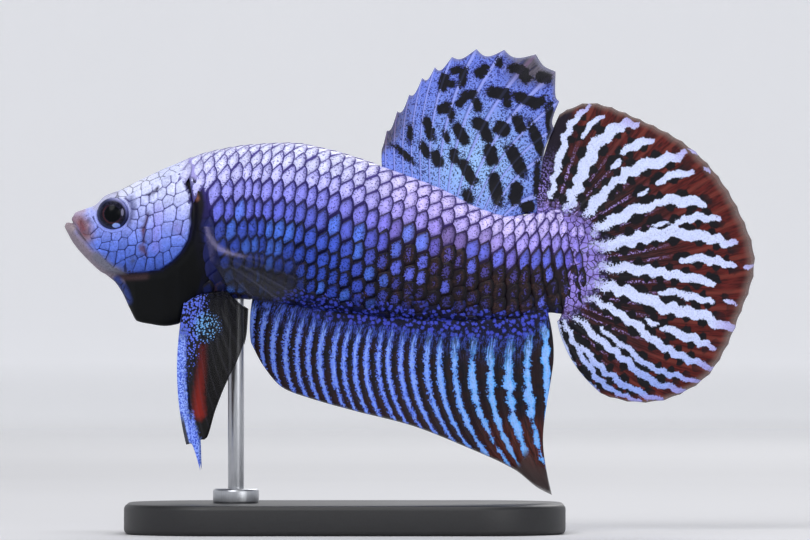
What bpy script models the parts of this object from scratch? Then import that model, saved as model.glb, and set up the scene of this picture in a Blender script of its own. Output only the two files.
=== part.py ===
# A still, life-size model of a male short-finned betta fish on a plain display stand.
# The fish faces -X with its left side towards -Y; +Z is up. The origin is the centre of the
# stand's underside. Sizes below are in millimetres and are turned into metres by MM.
import math

import bmesh
import bpy
from mathutils import Vector

MM = 0.001

# ---- fish: side profiles as (distance along the body, height above the stand's underside)
BACK_LINE = [(-27.95, 30.9), (-27.4, 31.1), (-27.2, 31.5), (-27.0, 32.0), (-26.3, 32.3), (-24.7, 32.9),
             (-23.9, 33.7), (-22.3, 34.4), (-19.9, 35.6), (-16.7, 37.0), (-13.5, 38.1), (-9.5, 38.8),
             (-5.5, 39.0), (-1.5, 38.3), (3.3, 36.8), (9.5, 34.5), (13.5, 32.5), (16.5, 31.7),
             (19.5, 32.1), (21.0, 32.4), (24.0, 32.0)]
BELLY_LINE = [(-27.95, 30.4), (-27.1, 28.9), (-25.5, 27.1), (-23.9, 25.7), (-23.1, 25.2), (-22.3, 24.1),
              (-21.5, 22.4), (-20.8, 21.2), (-19.5, 20.9), (-18.0, 20.7), (-16.7, 20.9), (-15.9, 21.7),
              (-14.7, 22.9), (-13.0, 23.4), (-9.5, 23.35), (-4.5, 22.6), (0.5, 21.9), (5.5, 21.4),
              (10.5, 21.15), (15.5, 21.2), (18.5, 21.6), (20.7, 22.0), (24.0, 21.8)]
HALF_WIDTH = [(-27.95, 0.75), (-27.0, 1.55), (-25.5, 2.25), (-23.2, 3.0), (-20.5, 3.85), (-17.5, 4.5),
              (-14.5, 4.75), (-9.5, 4.7), (-4.5, 4.45), (0.5, 4.0), (5.5, 3.45), (10.5, 2.8),
              (15.5, 2.05), (19.5, 1.35), (24.0, 0.65)]
# how far the lower flank draws in towards the keel: most at the throat
KEEL = [(-27.95, 0.0), (-24.0, 0.2), (-20.5, 0.6), (-17.5, 0.55), (-13.5, 0.25), (0.0, 0.3), (24.0, 0.3)]
WIDEST_AT = 1.15      # above 1 the body is widest above the middle of its depth
# power of the cross-section: below 1 it is fuller than an ellipse, as on the flat-topped head
FULLNESS = [(-27.95, 0.85), (-25.0, 0.78), (-20.0, 0.76), (-14.5, 0.84), (0.0, 0.9), (24.0, 0.95)]
RING_SIDES = 24
STATION_STEP = 1.3
NOSE_REACH = 0.12

# ---- thin cuts that part the fish into its named pieces
GAP = 0.3
NAPE_CUT = [(-17.3, 42.0), (-16.3, 36.8), (-15.6, 35.0), (-15.2, 33.6), (-15.1, 30.7)]
GILL_CUT = [(-15.1, 30.7), (-15.4, 29.3), (-16.2, 28.0), (-17.0, 27.1), (-18.3, 26.2), (-19.7, 26.05),
            (-22.0, 25.9), (-23.2, 26.1)]
SHOULDER_CUT = [(-15.1, 30.7), (-14.1, 30.9), (-13.7, 28.8), (-13.8, 26.8), (-14.2, 24.8), (-15.2, 23.0),
                (-16.1, 21.1), (-16.3, 18.0)]
CHIN_CUT = [(-23.2, 26.1), (-23.3, 25.2), (-23.9, 23.0)]
CHEEK_CUT = [(-23.2, 26.1), (-24.1, 27.1), (-25.3, 28.3)]
MOUTH_CUT = [(-25.3, 28.3), (-26.1, 29.3), (-26.7, 30.2), (-27.4, 31.15), (-29.5, 31.3)]
LIP_CUT = [(-25.3, 28.3), (-25.2, 30.3), (-25.4, 31.8), (-25.6, 36.0)]
WAIST_CUT = [(-2.3, 42.0), (-1.3, 36.0), (-1.1, 30.0), (-1.4, 24.0), (-2.1, 18.0)]
PEDUNCLE_CUT = [(13.9, 38.0), (15.0, 31.0), (15.2, 27.0), (14.9, 23.0), (14.2, 18.0)]
SIDE_REACH = 9.0

# ---- gill covers, eyes
GILL_COVER = [(-15.95, 35.0), (-15.55, 33.8), (-15.35, 32.3), (-15.4, 30.8), (-15.7, 29.3), (-16.45, 28.1),
              (-17.25, 27.3), (-18.45, 26.5), (-19.65, 26.3), (-19.95, 27.5), (-20.25, 28.8), (-20.1, 30.3),
              (-19.8, 31.8), (-19.3, 33.4), (-17.7, 34.6)]
GILL_COVER_DEPTH = 2.6
GILL_COVER_SWELL = 0.22
EYE_PLACE = (-23.15, 31.9)
EYE_RADIUS = 1.6
EYE_BULGE = 1.05
EYE_SUNK = 0.35
EYE_YAW = 12.0
SOCKET_GAP = 0.2

# ---- fins: each margin lists (place along the root from 0 to 1, x, z) of a ray's tip
TAIL_END = (21.2, 26.9)          # centre of the oval end of the tail, where the caudal rays start
TAIL_END_HALF = (1.6, 5.6)
CAUDAL_HEART = (20.3, 27.1)
CAUDAL_REACH = [(85.5, 14.95), (74.0, 16.6), (59.0, 16.95), (36.0, 18.5), (15.0, 19.8), (0.0, 20.7),
                (-17.0, 19.9), (-33.0, 19.75), (-47.0, 18.5), (-56.0, 17.0), (-68.0, 14.3)]
CAUDAL_RISE = 92.0               # first direction of the top ray, in degrees above the body's line
CAUDAL_DROP = -80.0              # first direction of the bottom ray
DORSAL_ROOT = (3.7, 16.0)
DORSAL_MARGIN = [(0.0, 3.7, 39.2), (0.08, 4.8, 41.5), (0.16, 6.1, 43.4), (0.26, 7.9, 45.7), (0.36, 9.8, 47.1),
                 (0.46, 13.0, 48.4), (0.55, 16.5, 48.3), (0.64, 20.2, 47.4), (0.72, 21.5, 44.3),
                 (0.82, 20.8, 40.5), (0.90, 19.6, 37.3), (1.0, 19.1, 33.0)]
ANAL_ROOT = (-9.2, 20.2)
ANAL_MARGIN = [(0.0, -9.4, 19.0), (0.05, -8.3, 16.9), (0.12, -6.2, 14.5), (0.2, -3.6, 13.5), (0.35, 1.0, 12.2),
               (0.5, 6.5, 10.8), (0.65, 12.1, 8.6), (0.78, 17.0, 6.3), (0.86, 19.3, 4.5), (0.92, 20.7, 3.8),
               (0.96, 19.8, 9.3), (1.0, 20.8, 16.7)]
PELVIC_ROOT = [(0.0, -16.1, 21.3), (0.5, -13.6, 22.4), (1.0, -11.7, 22.9)]
PELVIC_MARGIN = [(0.0, -15.8, 8.9), (0.071, -15.3, 9.0), (0.143, -14.4, 6.3), (0.214, -14.5, 9.4),
                 (0.3, -14.0, 9.4), (0.45, -13.0, 12.3), (0.6, -12.0, 14.8), (0.75, -10.7, 17.3),
                 (0.88, -9.9, 19.8), (1.0, -9.7, 22.4)]
PELVIC_SIDE = 1.6
PELVIC_SPLAY = 2.0
PECTORAL_ROOT = [(0.0, -13.7, 30.6), (1.0, -13.0, 27.2)]
PECTORAL_MARGIN = [(0.0, -8.2, 30.0), (0.2, -5.2, 28.7), (0.4, -3.2, 26.8), (0.55, -2.8, 25.0),
                   (0.7, -4.2, 23.4), (0.85, -6.8, 22.7), (1.0, -11.6, 24.2)]
PECTORAL_SPLAY = 3.6
FIN_EDGE = 0.25                  # half of a fin's thickness at its margin and between its rays
FIN_RAY = 0.33                   # the same on a ray
FIN_FOOT = 0.42                  # the same on a ray at the root

# ---- display stand
BASE_LENGTH = 44.0
BASE_DEPTH = 26.0
BASE_HEIGHT = 3.0
BASE_CORNER = 9.0
BASE_BEVEL = 0.5
ROD_X = -10.9
ROD_RADIUS = 0.8
ROD_FOOT = 1.2
ROD_TOP = 24.8
ROD_SOCKET_GAP = 0.1
COLLAR_RADIUS = 2.3
COLLAR_HEIGHT = 1.3

COLOURS = {
    "head": (0.55, 0.58, 0.80), "upper_jaw": (0.42, 0.30, 0.36), "lower_jaw": (0.36, 0.35, 0.40),
    "throat": (0.03, 0.04, 0.06), "gill_cover": (0.42, 0.48, 0.80), "eye": (0.02, 0.02, 0.03),
    "trunk_front": (0.36, 0.38, 0.75), "trunk_rear": (0.30, 0.27, 0.55), "tail": (0.26, 0.22, 0.45),
    "dorsal_fin": (0.28, 0.38, 0.66), "caudal_fin": (0.36, 0.20, 0.28), "anal_fin": (0.20, 0.26, 0.50),
    "pelvic_fin": (0.12, 0.14, 0.30), "pectoral_fin": (0.18, 0.22, 0.34),
    "stand_base": (0.03, 0.03, 0.035), "stand_rod": (0.62, 0.63, 0.65), "stand_collar": (0.62, 0.63, 0.65),
}
METALS = ("stand_rod", "stand_collar")
GLOSSY = ("eye",)


def curve_at(points, x):
    """Value at x of a smooth line through points, with no overshoot between them."""
    if x <= points[0][0]:
        return points[0][1]
    if x >= points[-1][0]:
        return points[-1][1]
    slopes = [(b[1] - a[1]) / (b[0] - a[0]) for a, b in zip(points, points[1:])]

    def tangent(index):
        if index == 0 or index == len(points) - 1:
            return slopes[min(index, len(slopes) - 1)]
        before, after = slopes[index - 1], slopes[index]
        if before * after <= 0.0:
            return 0.0
        return 2.0 * before * after / (before + after)

    index = max(i for i in range(len(points) - 1) if points[i][0] <= x)
    start, end = points[index], points[index + 1]
    span = end[0] - start[0]
    t = (x - start[0]) / span
    return (start[1] * (2 * t ** 3 - 3 * t ** 2 + 1) + end[1] * (3 * t ** 2 - 2 * t ** 3)
            + span * tangent(index) * (t ** 3 - 2 * t ** 2 + t)
            + span * tangent(index + 1) * (t ** 3 - t ** 2))


def path_at(points, s):
    """Point (x, z) at s along a smooth path listed as (s, x, z)."""
    return (curve_at([(p[0], p[1]) for p in points], s), curve_at([(p[0], p[2]) for p in points], s))


def smooth_step(low, high, value):
    t = min(max((value - low) / (high - low), 0.0), 1.0)
    return t * t * (3.0 - 2.0 * t)


def body_point(x, angle, swell=0.0):
    """Point of the body's skin at x; angle runs from 0 on the back to pi on the belly."""
    high, low = curve_at(BACK_LINE, x), curve_at(BELLY_LINE, x)
    depth = ((1.0 - math.cos(angle)) / 2.0) ** WIDEST_AT
    draw_in = 1.0 - curve_at(KEEL, x) * smooth_step(0.35, 1.0, depth)
    side = math.copysign(abs(math.sin(angle)) ** curve_at(FULLNESS, x), math.sin(angle))
    return (x, side * (curve_at(HALF_WIDTH, x) + swell) * draw_in, high + (low - high) * depth)


def flank_y(x, z):
    """Half width of the body at x and z."""
    steps = 90
    ring = [body_point(x, math.pi * (i + 0.5) / steps) for i in range(steps)]
    return min(ring, key=lambda p: abs(p[2] - z))[1]


def underside_z(x, y):
    """Height of the belly's skin at x, y to the side of the keel."""
    steps = 180
    ring = [body_point(x, math.pi * (0.5 + 0.5 * i / steps)) for i in range(steps + 1)]
    return min(ring, key=lambda p: abs(p[1] - y))[2]


def link(name, mesh, material=None):
    thing = bpy.data.objects.new(name, mesh)
    bpy.context.collection.objects.link(thing)
    if material:
        mesh.materials.append(material)
    return thing


def mesh_from(name, points, faces):
    """Closed mesh of points in millimetres, with its faces turned outwards."""
    mesh = bpy.data.meshes.new(name)
    mesh.from_pydata([Vector(p) * MM for p in points], [], faces)
    work = bmesh.new()
    work.from_mesh(mesh)
    bmesh.ops.recalc_face_normals(work, faces=work.faces)
    work.to_mesh(mesh)
    work.free()
    mesh.validate()
    return mesh


def paint(name):
    """Principled material of a sub-part, shared by its left and right pieces."""
    key = name.replace("_left", "").replace("_right", "")
    if key in bpy.data.materials:
        return bpy.data.materials[key]
    material = bpy.data.materials.new(key)
    material.use_nodes = True
    shader = material.node_tree.nodes["Principled BSDF"]
    shader.inputs["Base Color"].default_value = (*COLOURS[key], 1.0)
    shader.inputs["Roughness"].default_value = 0.1 if key in GLOSSY else 0.4
    shader.inputs["Metallic"].default_value = 1.0 if key in METALS else 0.0
    return material


def shade(thing, angle=35.0):
    thing.data.shade_smooth()
    thing.data.set_sharp_from_angle(angle=math.radians(angle))


def hide_as_cutter(thing):
    thing.hide_render = True
    thing.display_type = "WIRE"
    return thing


def cut(thing, cutter, operation):
    step = thing.modifiers.new(operation.lower(), "BOOLEAN")
    step.operation = operation
    step.object = cutter
    step.solver = "EXACT"


def body_mesh(name, swell=0.0):
    """The whole fish without fins, lofted from snout to tail root."""
    first, last = BACK_LINE[0][0], BACK_LINE[-1][0]
    stations = [first, first + 0.35, first + 0.65, first + 0.95]
    count = round((last - stations[-1]) / STATION_STEP)
    step = (last - stations[-1]) / count
    stations += [stations[-1] + step * (i + 1) for i in range(count)]
    points, faces = [], []
    for x in stations:
        points += [body_point(x, 2.0 * math.pi * i / RING_SIDES, swell) for i in range(RING_SIDES)]
    for row in range(len(stations) - 1):
        for i in range(RING_SIDES):
            j = (i + 1) % RING_SIDES
            a, b = row * RING_SIDES, (row + 1) * RING_SIDES
            faces.append((a + i, a + j, b + j, b + i))
    mouth_z = (BACK_LINE[0][1] + BELLY_LINE[0][1]) / 2.0
    points.append((first - NOSE_REACH, 0.0, mouth_z))
    nose = len(points) - 1
    faces += [(nose, (i + 1) % RING_SIDES, i) for i in range(RING_SIDES)]
    faces.append(tuple((len(stations) - 1) * RING_SIDES + i for i in range(RING_SIDES)))
    return mesh_from(name, points, faces)


def shrink(outline, distance):
    """Outline moved inwards by distance (outwards if negative), corner by corner."""
    area = sum(a[0] * b[1] - b[0] * a[1] for a, b in zip(outline, outline[1:] + outline[:1]))
    turn = 1.0 if area > 0 else -1.0
    moved = []
    for i, (x, z) in enumerate(outline):
        before = Vector((x - outline[i - 1][0], z - outline[i - 1][1])).normalized()
        following = outline[(i + 1) % len(outline)]
        after = Vector((following[0] - x, following[1] - z)).normalized()
        inward = Vector((-(before.y + after.y), before.x + after.x)) * turn
        inward.normalize()
        edge_in = Vector((-after.y, after.x)) * turn
        reach = min(distance / max(inward.dot(edge_in), 0.35), 3.0 * abs(distance), key=abs)
        moved.append((x + inward.x * reach, z + inward.y * reach))
    return moved


def prism(name, outline, near, far):
    """Straight-sided block of an outline in the XZ plane, from y = near to y = far."""
    count = len(outline)
    points = [(x, near, z) for x, z in outline] + [(x, far, z) for x, z in outline]
    faces = [tuple(range(count)), tuple(range(count, 2 * count))]
    faces += [(i, (i + 1) % count, count + (i + 1) % count, count + i) for i in range(count)]
    return hide_as_cutter(link(name, mesh_from(name, points, faces)))


def tail_end_arc(extra, steps=9):
    """Rear edge of the tail, an oval arc, from its top to its bottom."""
    arc = []
    for i in range(steps + 1):
        angle = math.pi * (0.5 - i / steps)
        arc.append((TAIL_END[0] + (TAIL_END_HALF[0] + extra) * math.cos(angle),
                    TAIL_END[1] + (TAIL_END_HALF[1] + extra) * math.sin(angle)))
    return arc


def body_regions():
    """Side outline of each piece of the body. Neighbours share a cut line."""
    rear = tail_end_arc(0.0)[::-1]
    return {
        "head": NAPE_CUT + GILL_CUT[1:] + CHEEK_CUT[1:] + LIP_CUT[1:] + [(-22.0, 42.0)],
        "upper_jaw": MOUTH_CUT + [(-29.5, 36.0)] + LIP_CUT[:0:-1],
        "lower_jaw": CHEEK_CUT + MOUTH_CUT[1:] + [(-29.5, 23.0)] + CHIN_CUT[:0:-1],
        "throat": SHOULDER_CUT + [(-24.6, 18.0)] + CHIN_CUT[:0:-1] + GILL_CUT[:0:-1],
        "trunk_front": WAIST_CUT + SHOULDER_CUT[::-1] + NAPE_CUT[-2::-1],
        "trunk_rear": PEDUNCLE_CUT + WAIST_CUT[::-1],
        "tail": rear + [(TAIL_END[0], 38.0)] + PEDUNCLE_CUT + [(TAIL_END[0], 18.0)],
    }


def make_body():
    """Pieces of the body, each the whole loft kept inside its own side outline."""
    pieces = {}
    for name, outline in body_regions().items():
        piece = link(name, body_mesh(name), paint(name))
        cut(piece, prism("cut_" + name, shrink(outline, GAP / 2.0), -SIDE_REACH, SIDE_REACH), "INTERSECT")
        pieces[name] = piece
    return pieces


def make_gill_covers(head):
    """A thick plate on each cheek, and the pocket in the head that it lies in."""
    for label, side in (("left", -1.0), ("right", 1.0)):
        name = "gill_cover_" + label
        plate = link(name, body_mesh(name, GILL_COVER_SWELL), paint(name))
        reach, depth = side * SIDE_REACH, side * GILL_COVER_DEPTH
        cut(plate, prism("cut_" + name, GILL_COVER, reach, depth), "INTERSECT")
        pocket = prism("cut_pocket_" + label, shrink(GILL_COVER, -GAP), reach, depth - side * GAP)
        cut(head, pocket, "DIFFERENCE")


def eye_mesh(name, side, extra=0.0):
    """Flattened ball set in the cheek, turned a little forwards."""
    work = bmesh.new()
    bmesh.ops.create_uvsphere(work, u_segments=14, v_segments=8, radius=1.0)
    yaw = math.radians(EYE_YAW)
    x, z = EYE_PLACE
    y = side * (flank_y(x, z) - EYE_SUNK)
    for vertex in work.verts:
        across = vertex.co.x * (EYE_RADIUS + extra)
        out = vertex.co.z * (EYE_BULGE + extra)
        up = vertex.co.y * (EYE_RADIUS + extra)
        vertex.co = Vector((x + across * math.cos(yaw) - out * math.sin(yaw),
                            y + side * (across * math.sin(yaw) + out * math.cos(yaw)), z + up)) * MM
    work.normal_update()
    bmesh.ops.recalc_face_normals(work, faces=work.faces)
    mesh = bpy.data.meshes.new(name)
    work.to_mesh(mesh)
    work.free()
    return mesh


def make_eyes(head):
    for label, side in (("left", -1.0), ("right", 1.0)):
        eye = link("eye_" + label, eye_mesh("eye_" + label, side), paint("eye_" + label))
        shade(eye)
        socket = link("cut_socket_" + label, eye_mesh("cut_socket_" + label, side, SOCKET_GAP))
        cut(head, hide_as_cutter(socket), "DIFFERENCE")


def ray_point(root, bend, tip, t):
    """Point at t on a ray that leaves root, leans towards bend and ends at tip."""
    return tuple(r * (1 - t) ** 2 + 2.0 * b * t * (1 - t) + e * t ** 2 for r, b, e in zip(root, bend, tip))


def make_fin(name, rays, rows, ray_of, side_of):
    """Closed fin sheet: two columns to a ray, thicker on the rays and towards the root.

    ray_of(s) gives a ray's root, bend and tip as (x, z); side_of(s, t) gives the middle's y.
    """
    columns = 2 * rays
    points = []
    for face in (-1.0, 1.0):
        for i in range(columns + 1):
            s = i / columns
            ray = ray_of(s)
            on_ray = i % 2 == 1 or i in (0, columns)
            for j in range(rows + 1):
                t = j / rows
                x, z = ray_point(*ray, t)
                thick = FIN_FOOT + (FIN_RAY - FIN_FOOT) * min(1.0, 2.5 * t) if on_ray else FIN_EDGE
                if j == rows:
                    thick = FIN_EDGE
                points.append((x, side_of(s, t) + face * thick, z))
    width = rows + 1
    half = (columns + 1) * width
    faces = []
    for i in range(columns):
        for j in range(rows):
            a, b = i * width + j, (i + 1) * width + j
            faces.append((a, b, b + 1, a + 1))
            faces.append((half + a, half + a + 1, half + b + 1, half + b))
    rim = [i * width for i in range(columns + 1)]
    rim += [columns * width + j for j in range(1, rows + 1)]
    rim += [i * width + rows for i in range(columns - 1, -1, -1)]
    rim += [j for j in range(rows - 1, 0, -1)]
    for a, b in zip(rim, rim[1:] + rim[:1]):
        faces.append((a, b, half + b, half + a))
    fin = link(name, mesh_from(name, points, faces), paint(name))
    shade(fin, 50.0)
    return fin


def scallop(rays, s, depth):
    """How far the margin draws in between the tips of the rays."""
    return depth * abs(math.cos(math.pi * rays * s))


def make_dorsal_fin(rays=12):
    def ray_of(s):
        x = DORSAL_ROOT[0] + (DORSAL_ROOT[1] - DORSAL_ROOT[0]) * s
        root = (x, curve_at(BACK_LINE, x) + GAP)
        tip = path_at(DORSAL_MARGIN, s)
        lean = 0.05 + 0.2 * s
        middle = ((root[0] + tip[0]) / 2.0, (root[1] + tip[1]) / 2.0)
        bend = (middle[0] - lean * (tip[1] - root[1]), middle[1] + 0.3 * lean * (tip[0] - root[0]))
        return root, bend, tip

    def side_of(s, t):
        return 0.35 * math.sin(2.2 * math.pi * s) * t * t

    make_fin("dorsal_fin", rays, 8, ray_of, side_of)


def make_anal_fin(rays=24):
    def ray_of(s):
        x = ANAL_ROOT[0] + (ANAL_ROOT[1] - ANAL_ROOT[0]) * s
        root = (x, curve_at(BELLY_LINE, x) - GAP)
        tip = path_at(ANAL_MARGIN, s)
        length = math.dist(root, tip)
        bow = 0.27 * length * (1.0 - smooth_step(0.88, 1.0, s)) - 0.12 * length * smooth_step(0.93, 1.0, s)
        bow *= 0.4 + 0.6 * smooth_step(0.0, 0.12, s)
        return root, ((root[0] + tip[0]) / 2.0 - bow, (root[1] + tip[1]) / 2.0), tip

    def side_of(s, t):
        return 0.4 * math.sin(3.0 * math.pi * s + 0.8) * t * t

    make_fin("anal_fin", rays, 6, ray_of, side_of)


def make_caudal_fin(rays=15):
    def ray_of(s):
        turn = math.pi * (0.5 - s)
        root = (TAIL_END[0] + (TAIL_END_HALF[0] + GAP) * math.cos(turn),
                TAIL_END[1] + (TAIL_END_HALF[1] + GAP) * math.sin(turn))
        first, last = CAUDAL_REACH[0][0], CAUDAL_REACH[-1][0]
        angle = first + (last - first) * s
        reach = curve_at([(-a, r) for a, r in CAUDAL_REACH], -angle) - scallop(rays, s, 0.12)
        tip = (CAUDAL_HEART[0] + reach * math.cos(math.radians(angle)),
               CAUDAL_HEART[1] + reach * math.sin(math.radians(angle)))
        outward = 1.0 - 2.0 * s
        start = CAUDAL_RISE * outward ** 1.4 if outward > 0 else CAUDAL_DROP * (-outward) ** 1.3
        lead = 0.5 * math.dist(root, tip)
        bend = (root[0] + lead * math.cos(math.radians(start)), root[1] + lead * math.sin(math.radians(start)))
        return root, bend, tip

    def side_of(s, t):
        return 0.5 * math.sin(2.6 * math.pi * s + 0.5) * t * t

    make_fin("caudal_fin", rays, 7, ray_of, side_of)


def make_pelvic_fins(rays=7):
    for label, side in (("left", -1.0), ("right", 1.0)):
        def ray_of(s):
            x, _ = path_at(PELVIC_ROOT, s)
            root = (x, underside_z(x, PELVIC_SIDE) - GAP - 0.15)
            tip = path_at(PELVIC_MARGIN, s)
            bow = 1.6 + 2.0 * s - 3.6 * s * s
            return root, ((root[0] + tip[0]) / 2.0 - bow, (root[1] + tip[1]) / 2.0), tip

        def side_of(s, t):
            return side * (PELVIC_SIDE + PELVIC_SPLAY * t ** 1.2)

        make_fin("pelvic_fin_" + label, rays, 7, ray_of, side_of)


def make_pectoral_fins(rays=7):
    root_side = max(flank_y(x, z) for _, x, z in PECTORAL_ROOT) + GAP + FIN_FOOT
    for label, side in (("left", -1.0), ("right", 1.0)):
        def ray_of(s):
            root = path_at(PECTORAL_ROOT, s)
            tip = path_at(PECTORAL_MARGIN, s)
            return root, ((root[0] + tip[0]) / 2.0, (root[1] + tip[1]) / 2.0 + 0.4), tip

        def side_of(s, t):
            return side * (root_side + PECTORAL_SPLAY * t)

        make_fin("pectoral_fin_" + label, rays, 5, ray_of, side_of)


def rounded_outline(length, depth, corner, steps=7):
    """Rectangle with round corners, anticlockwise from the +X +Y corner."""
    outline = []
    for quarter, (sx, sy) in enumerate(((1, 1), (-1, 1), (-1, -1), (1, -1))):
        for i in range(steps + 1):
            angle = math.pi / 2.0 * (quarter + i / steps)
            outline.append((sx * (length / 2.0 - corner) + corner * math.cos(angle),
                            sy * (depth / 2.0 - corner) + corner * math.sin(angle)))
    return outline


def turned(name, profile, x, sides):
    """Solid of revolution about a vertical axis at x; a closed profile makes a ring."""
    points, faces = [], []
    closed = profile[0][0] > 0.0
    for i in range(sides):
        angle = 2.0 * math.pi * i / sides
        points += [(x + r * math.cos(angle), r * math.sin(angle), z) for r, z in profile]
    count = len(profile)
    for i in range(sides):
        a, b = i * count, ((i + 1) % sides) * count
        for j in range(count if closed else count - 1):
            k = (j + 1) % count
            faces.append((a + j, b + j, b + k, a + k))
    return mesh_from(name, points, faces)


def make_stand():
    outline = rounded_outline(BASE_LENGTH, BASE_DEPTH, BASE_CORNER)
    inner = rounded_outline(BASE_LENGTH - 2 * BASE_BEVEL, BASE_DEPTH - 2 * BASE_BEVEL, BASE_CORNER - BASE_BEVEL)
    levels = [(outline, 0.0), (outline, BASE_HEIGHT - BASE_BEVEL), (inner, BASE_HEIGHT)]
    count = len(outline)
    points = [(x, y, z) for loop, z in levels for x, y in loop]
    faces = [tuple(range(count)), tuple(range(2 * count, 3 * count))]
    for level in range(2):
        a, b = level * count, (level + 1) * count
        faces += [(a + i, a + (i + 1) % count, b + (i + 1) % count, b + i) for i in range(count)]
    base = link("stand_base", mesh_from("stand_base", points, faces), paint("stand_base"))
    hole = ROD_RADIUS + ROD_SOCKET_GAP
    for name, target, low, high, radius in (
            ("cut_base_hole", base, ROD_FOOT - ROD_SOCKET_GAP, BASE_HEIGHT + 1.0, hole),
            ("cut_belly_hole", bpy.data.objects["trunk_front"], 20.0, ROD_TOP + GAP, ROD_RADIUS + GAP)):
        work = bmesh.new()
        bmesh.ops.create_cone(work, cap_ends=True, segments=20, radius1=radius * MM, radius2=radius * MM,
                              depth=(high - low) * MM)
        bmesh.ops.translate(work, verts=work.verts, vec=Vector((ROD_X, 0.0, (low + high) / 2.0)) * MM)
        mesh = bpy.data.meshes.new(name)
        work.to_mesh(mesh)
        work.free()
        cut(target, hide_as_cutter(link(name, mesh)), "DIFFERENCE")
    work = bmesh.new()
    bmesh.ops.create_cone(work, cap_ends=True, segments=20, radius1=ROD_RADIUS * MM, radius2=ROD_RADIUS * MM,
                          depth=(ROD_TOP - ROD_FOOT) * MM)
    bmesh.ops.translate(work, verts=work.verts, vec=Vector((ROD_X, 0.0, (ROD_TOP + ROD_FOOT) / 2.0)) * MM)
    mesh = bpy.data.meshes.new("stand_rod")
    work.to_mesh(mesh)
    work.free()
    shade(link("stand_rod", mesh, paint("stand_rod")))
    low = BASE_HEIGHT + ROD_SOCKET_GAP
    ring = [(hole, low), (COLLAR_RADIUS, low), (COLLAR_RADIUS, low + 0.5),
            (COLLAR_RADIUS - 0.35, low + 0.85), (hole + 0.35, low + COLLAR_HEIGHT), (hole, low + COLLAR_HEIGHT)]
    shade(link("stand_collar", turned("stand_collar", ring, ROD_X, 24), paint("stand_collar")))


def main():
    for thing in list(bpy.data.objects):
        bpy.data.objects.remove(thing, do_unlink=True)
    pieces = make_body()
    make_gill_covers(pieces["head"])
    make_eyes(pieces["head"])
    make_dorsal_fin()
    make_anal_fin()
    make_caudal_fin()
    make_pelvic_fins()
    make_pectoral_fins()
    make_stand()


main()
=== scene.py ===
import math

import bpy
import numpy as np
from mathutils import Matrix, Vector


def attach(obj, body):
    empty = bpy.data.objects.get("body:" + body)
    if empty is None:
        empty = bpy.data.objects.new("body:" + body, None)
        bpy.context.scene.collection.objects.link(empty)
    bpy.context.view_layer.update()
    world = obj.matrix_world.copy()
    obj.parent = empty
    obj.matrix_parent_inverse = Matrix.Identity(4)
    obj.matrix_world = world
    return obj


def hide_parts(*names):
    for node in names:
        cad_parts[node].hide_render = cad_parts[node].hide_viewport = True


# Looks of a still betta fish on a display stand: skin, scales, fins, eyes, stand, floor and light.
# Sizes are in millimetres in the frame of the solids and become metres as each mesh is made.
# The fish faces -X with its left side towards -Y.
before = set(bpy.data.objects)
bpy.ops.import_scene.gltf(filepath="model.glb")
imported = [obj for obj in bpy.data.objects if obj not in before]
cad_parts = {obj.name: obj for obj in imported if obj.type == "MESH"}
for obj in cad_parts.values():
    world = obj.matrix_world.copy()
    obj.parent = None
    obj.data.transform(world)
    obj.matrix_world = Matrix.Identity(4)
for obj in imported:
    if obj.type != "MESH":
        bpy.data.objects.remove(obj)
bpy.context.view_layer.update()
mm = 0.001
random = np.random.default_rng(7)
print("frame loaded with", len(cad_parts), "nodes")


# ---- curves and distances

def curveAt(points, x):
    # smooth line through (x, value) points, with no overshoot between them
    px, py = np.array(points, float).T
    x = np.clip(np.asarray(x, float), px[0], px[-1])
    step = np.diff(px)
    slope = np.diff(py) / step
    product = slope[:-1] * slope[1:]
    total = np.where(product > 0, slope[:-1] + slope[1:], 1.0)
    middle = np.where(product > 0, 2 * product / total, 0.0)
    tangent = np.concatenate([slope[:1], middle, slope[-1:]])
    i = np.clip(np.searchsorted(px, x, side="right") - 1, 0, len(px) - 2)
    t = (x - px[i]) / step[i]
    ends = py[i] * (2 * t**3 - 3 * t**2 + 1) + py[i + 1] * (3 * t**2 - 2 * t**3)
    return ends + step[i] * (tangent[i] * (t**3 - 2 * t**2 + t) + tangent[i + 1] * (t**3 - t**2))


def pathAt(points, s):
    # point (x, z) at s along a smooth path listed as (s, x, z)
    return curveAt([(p[0], p[1]) for p in points], s), curveAt([(p[0], p[2]) for p in points], s)


def smoothStep(low, high, value):
    t = np.clip((value - low) / (high - low), 0.0, 1.0)
    return t * t * (3.0 - 2.0 * t)


def bell(value, width):
    return np.exp(-(value / width) ** 2)


def rounded(path, steps=6):
    # the same path with more points, so that its bends are round
    points = np.array(path, float)
    if len(points) < 3:
        return points
    padded = np.vstack([2 * points[0] - points[1], points, 2 * points[-1] - points[-2]])
    made = []
    for a, b, c, d in zip(padded, padded[1:], padded[2:], padded[3:]):
        for t in np.arange(steps) / steps:
            made.append(0.5 * (2 * b + (c - a) * t + (2 * a - 5 * b + 4 * c - d) * t**2
                               + (3 * b - a - 3 * c + d) * t**3))
    return np.array(made + [points[-1]])


def gapTo(spot, x, z):
    return np.hypot(x - spot[0], z - spot[1])


def pathGap(path, x, z):
    # distance to a path, and the share of the way along it where it is nearest
    points = np.array(path, float)
    lengths = np.hypot(*np.diff(points, axis=0).T)
    starts = np.concatenate([[0.0], np.cumsum(lengths)])
    gap = np.full(np.shape(x), 1e9)
    share = np.zeros(np.shape(x))
    for (ax, az), (bx, bz), start, length in zip(points, points[1:], starts, lengths):
        t = np.clip(((x - ax) * (bx - ax) + (z - az) * (bz - az)) / length**2, 0, 1)
        here = np.hypot(x - ax - t * (bx - ax), z - az - t * (bz - az))
        share = np.where(here < gap, (start + t * length) / starts[-1], share)
        gap = np.minimum(gap, here)
    return gap, share


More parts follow.
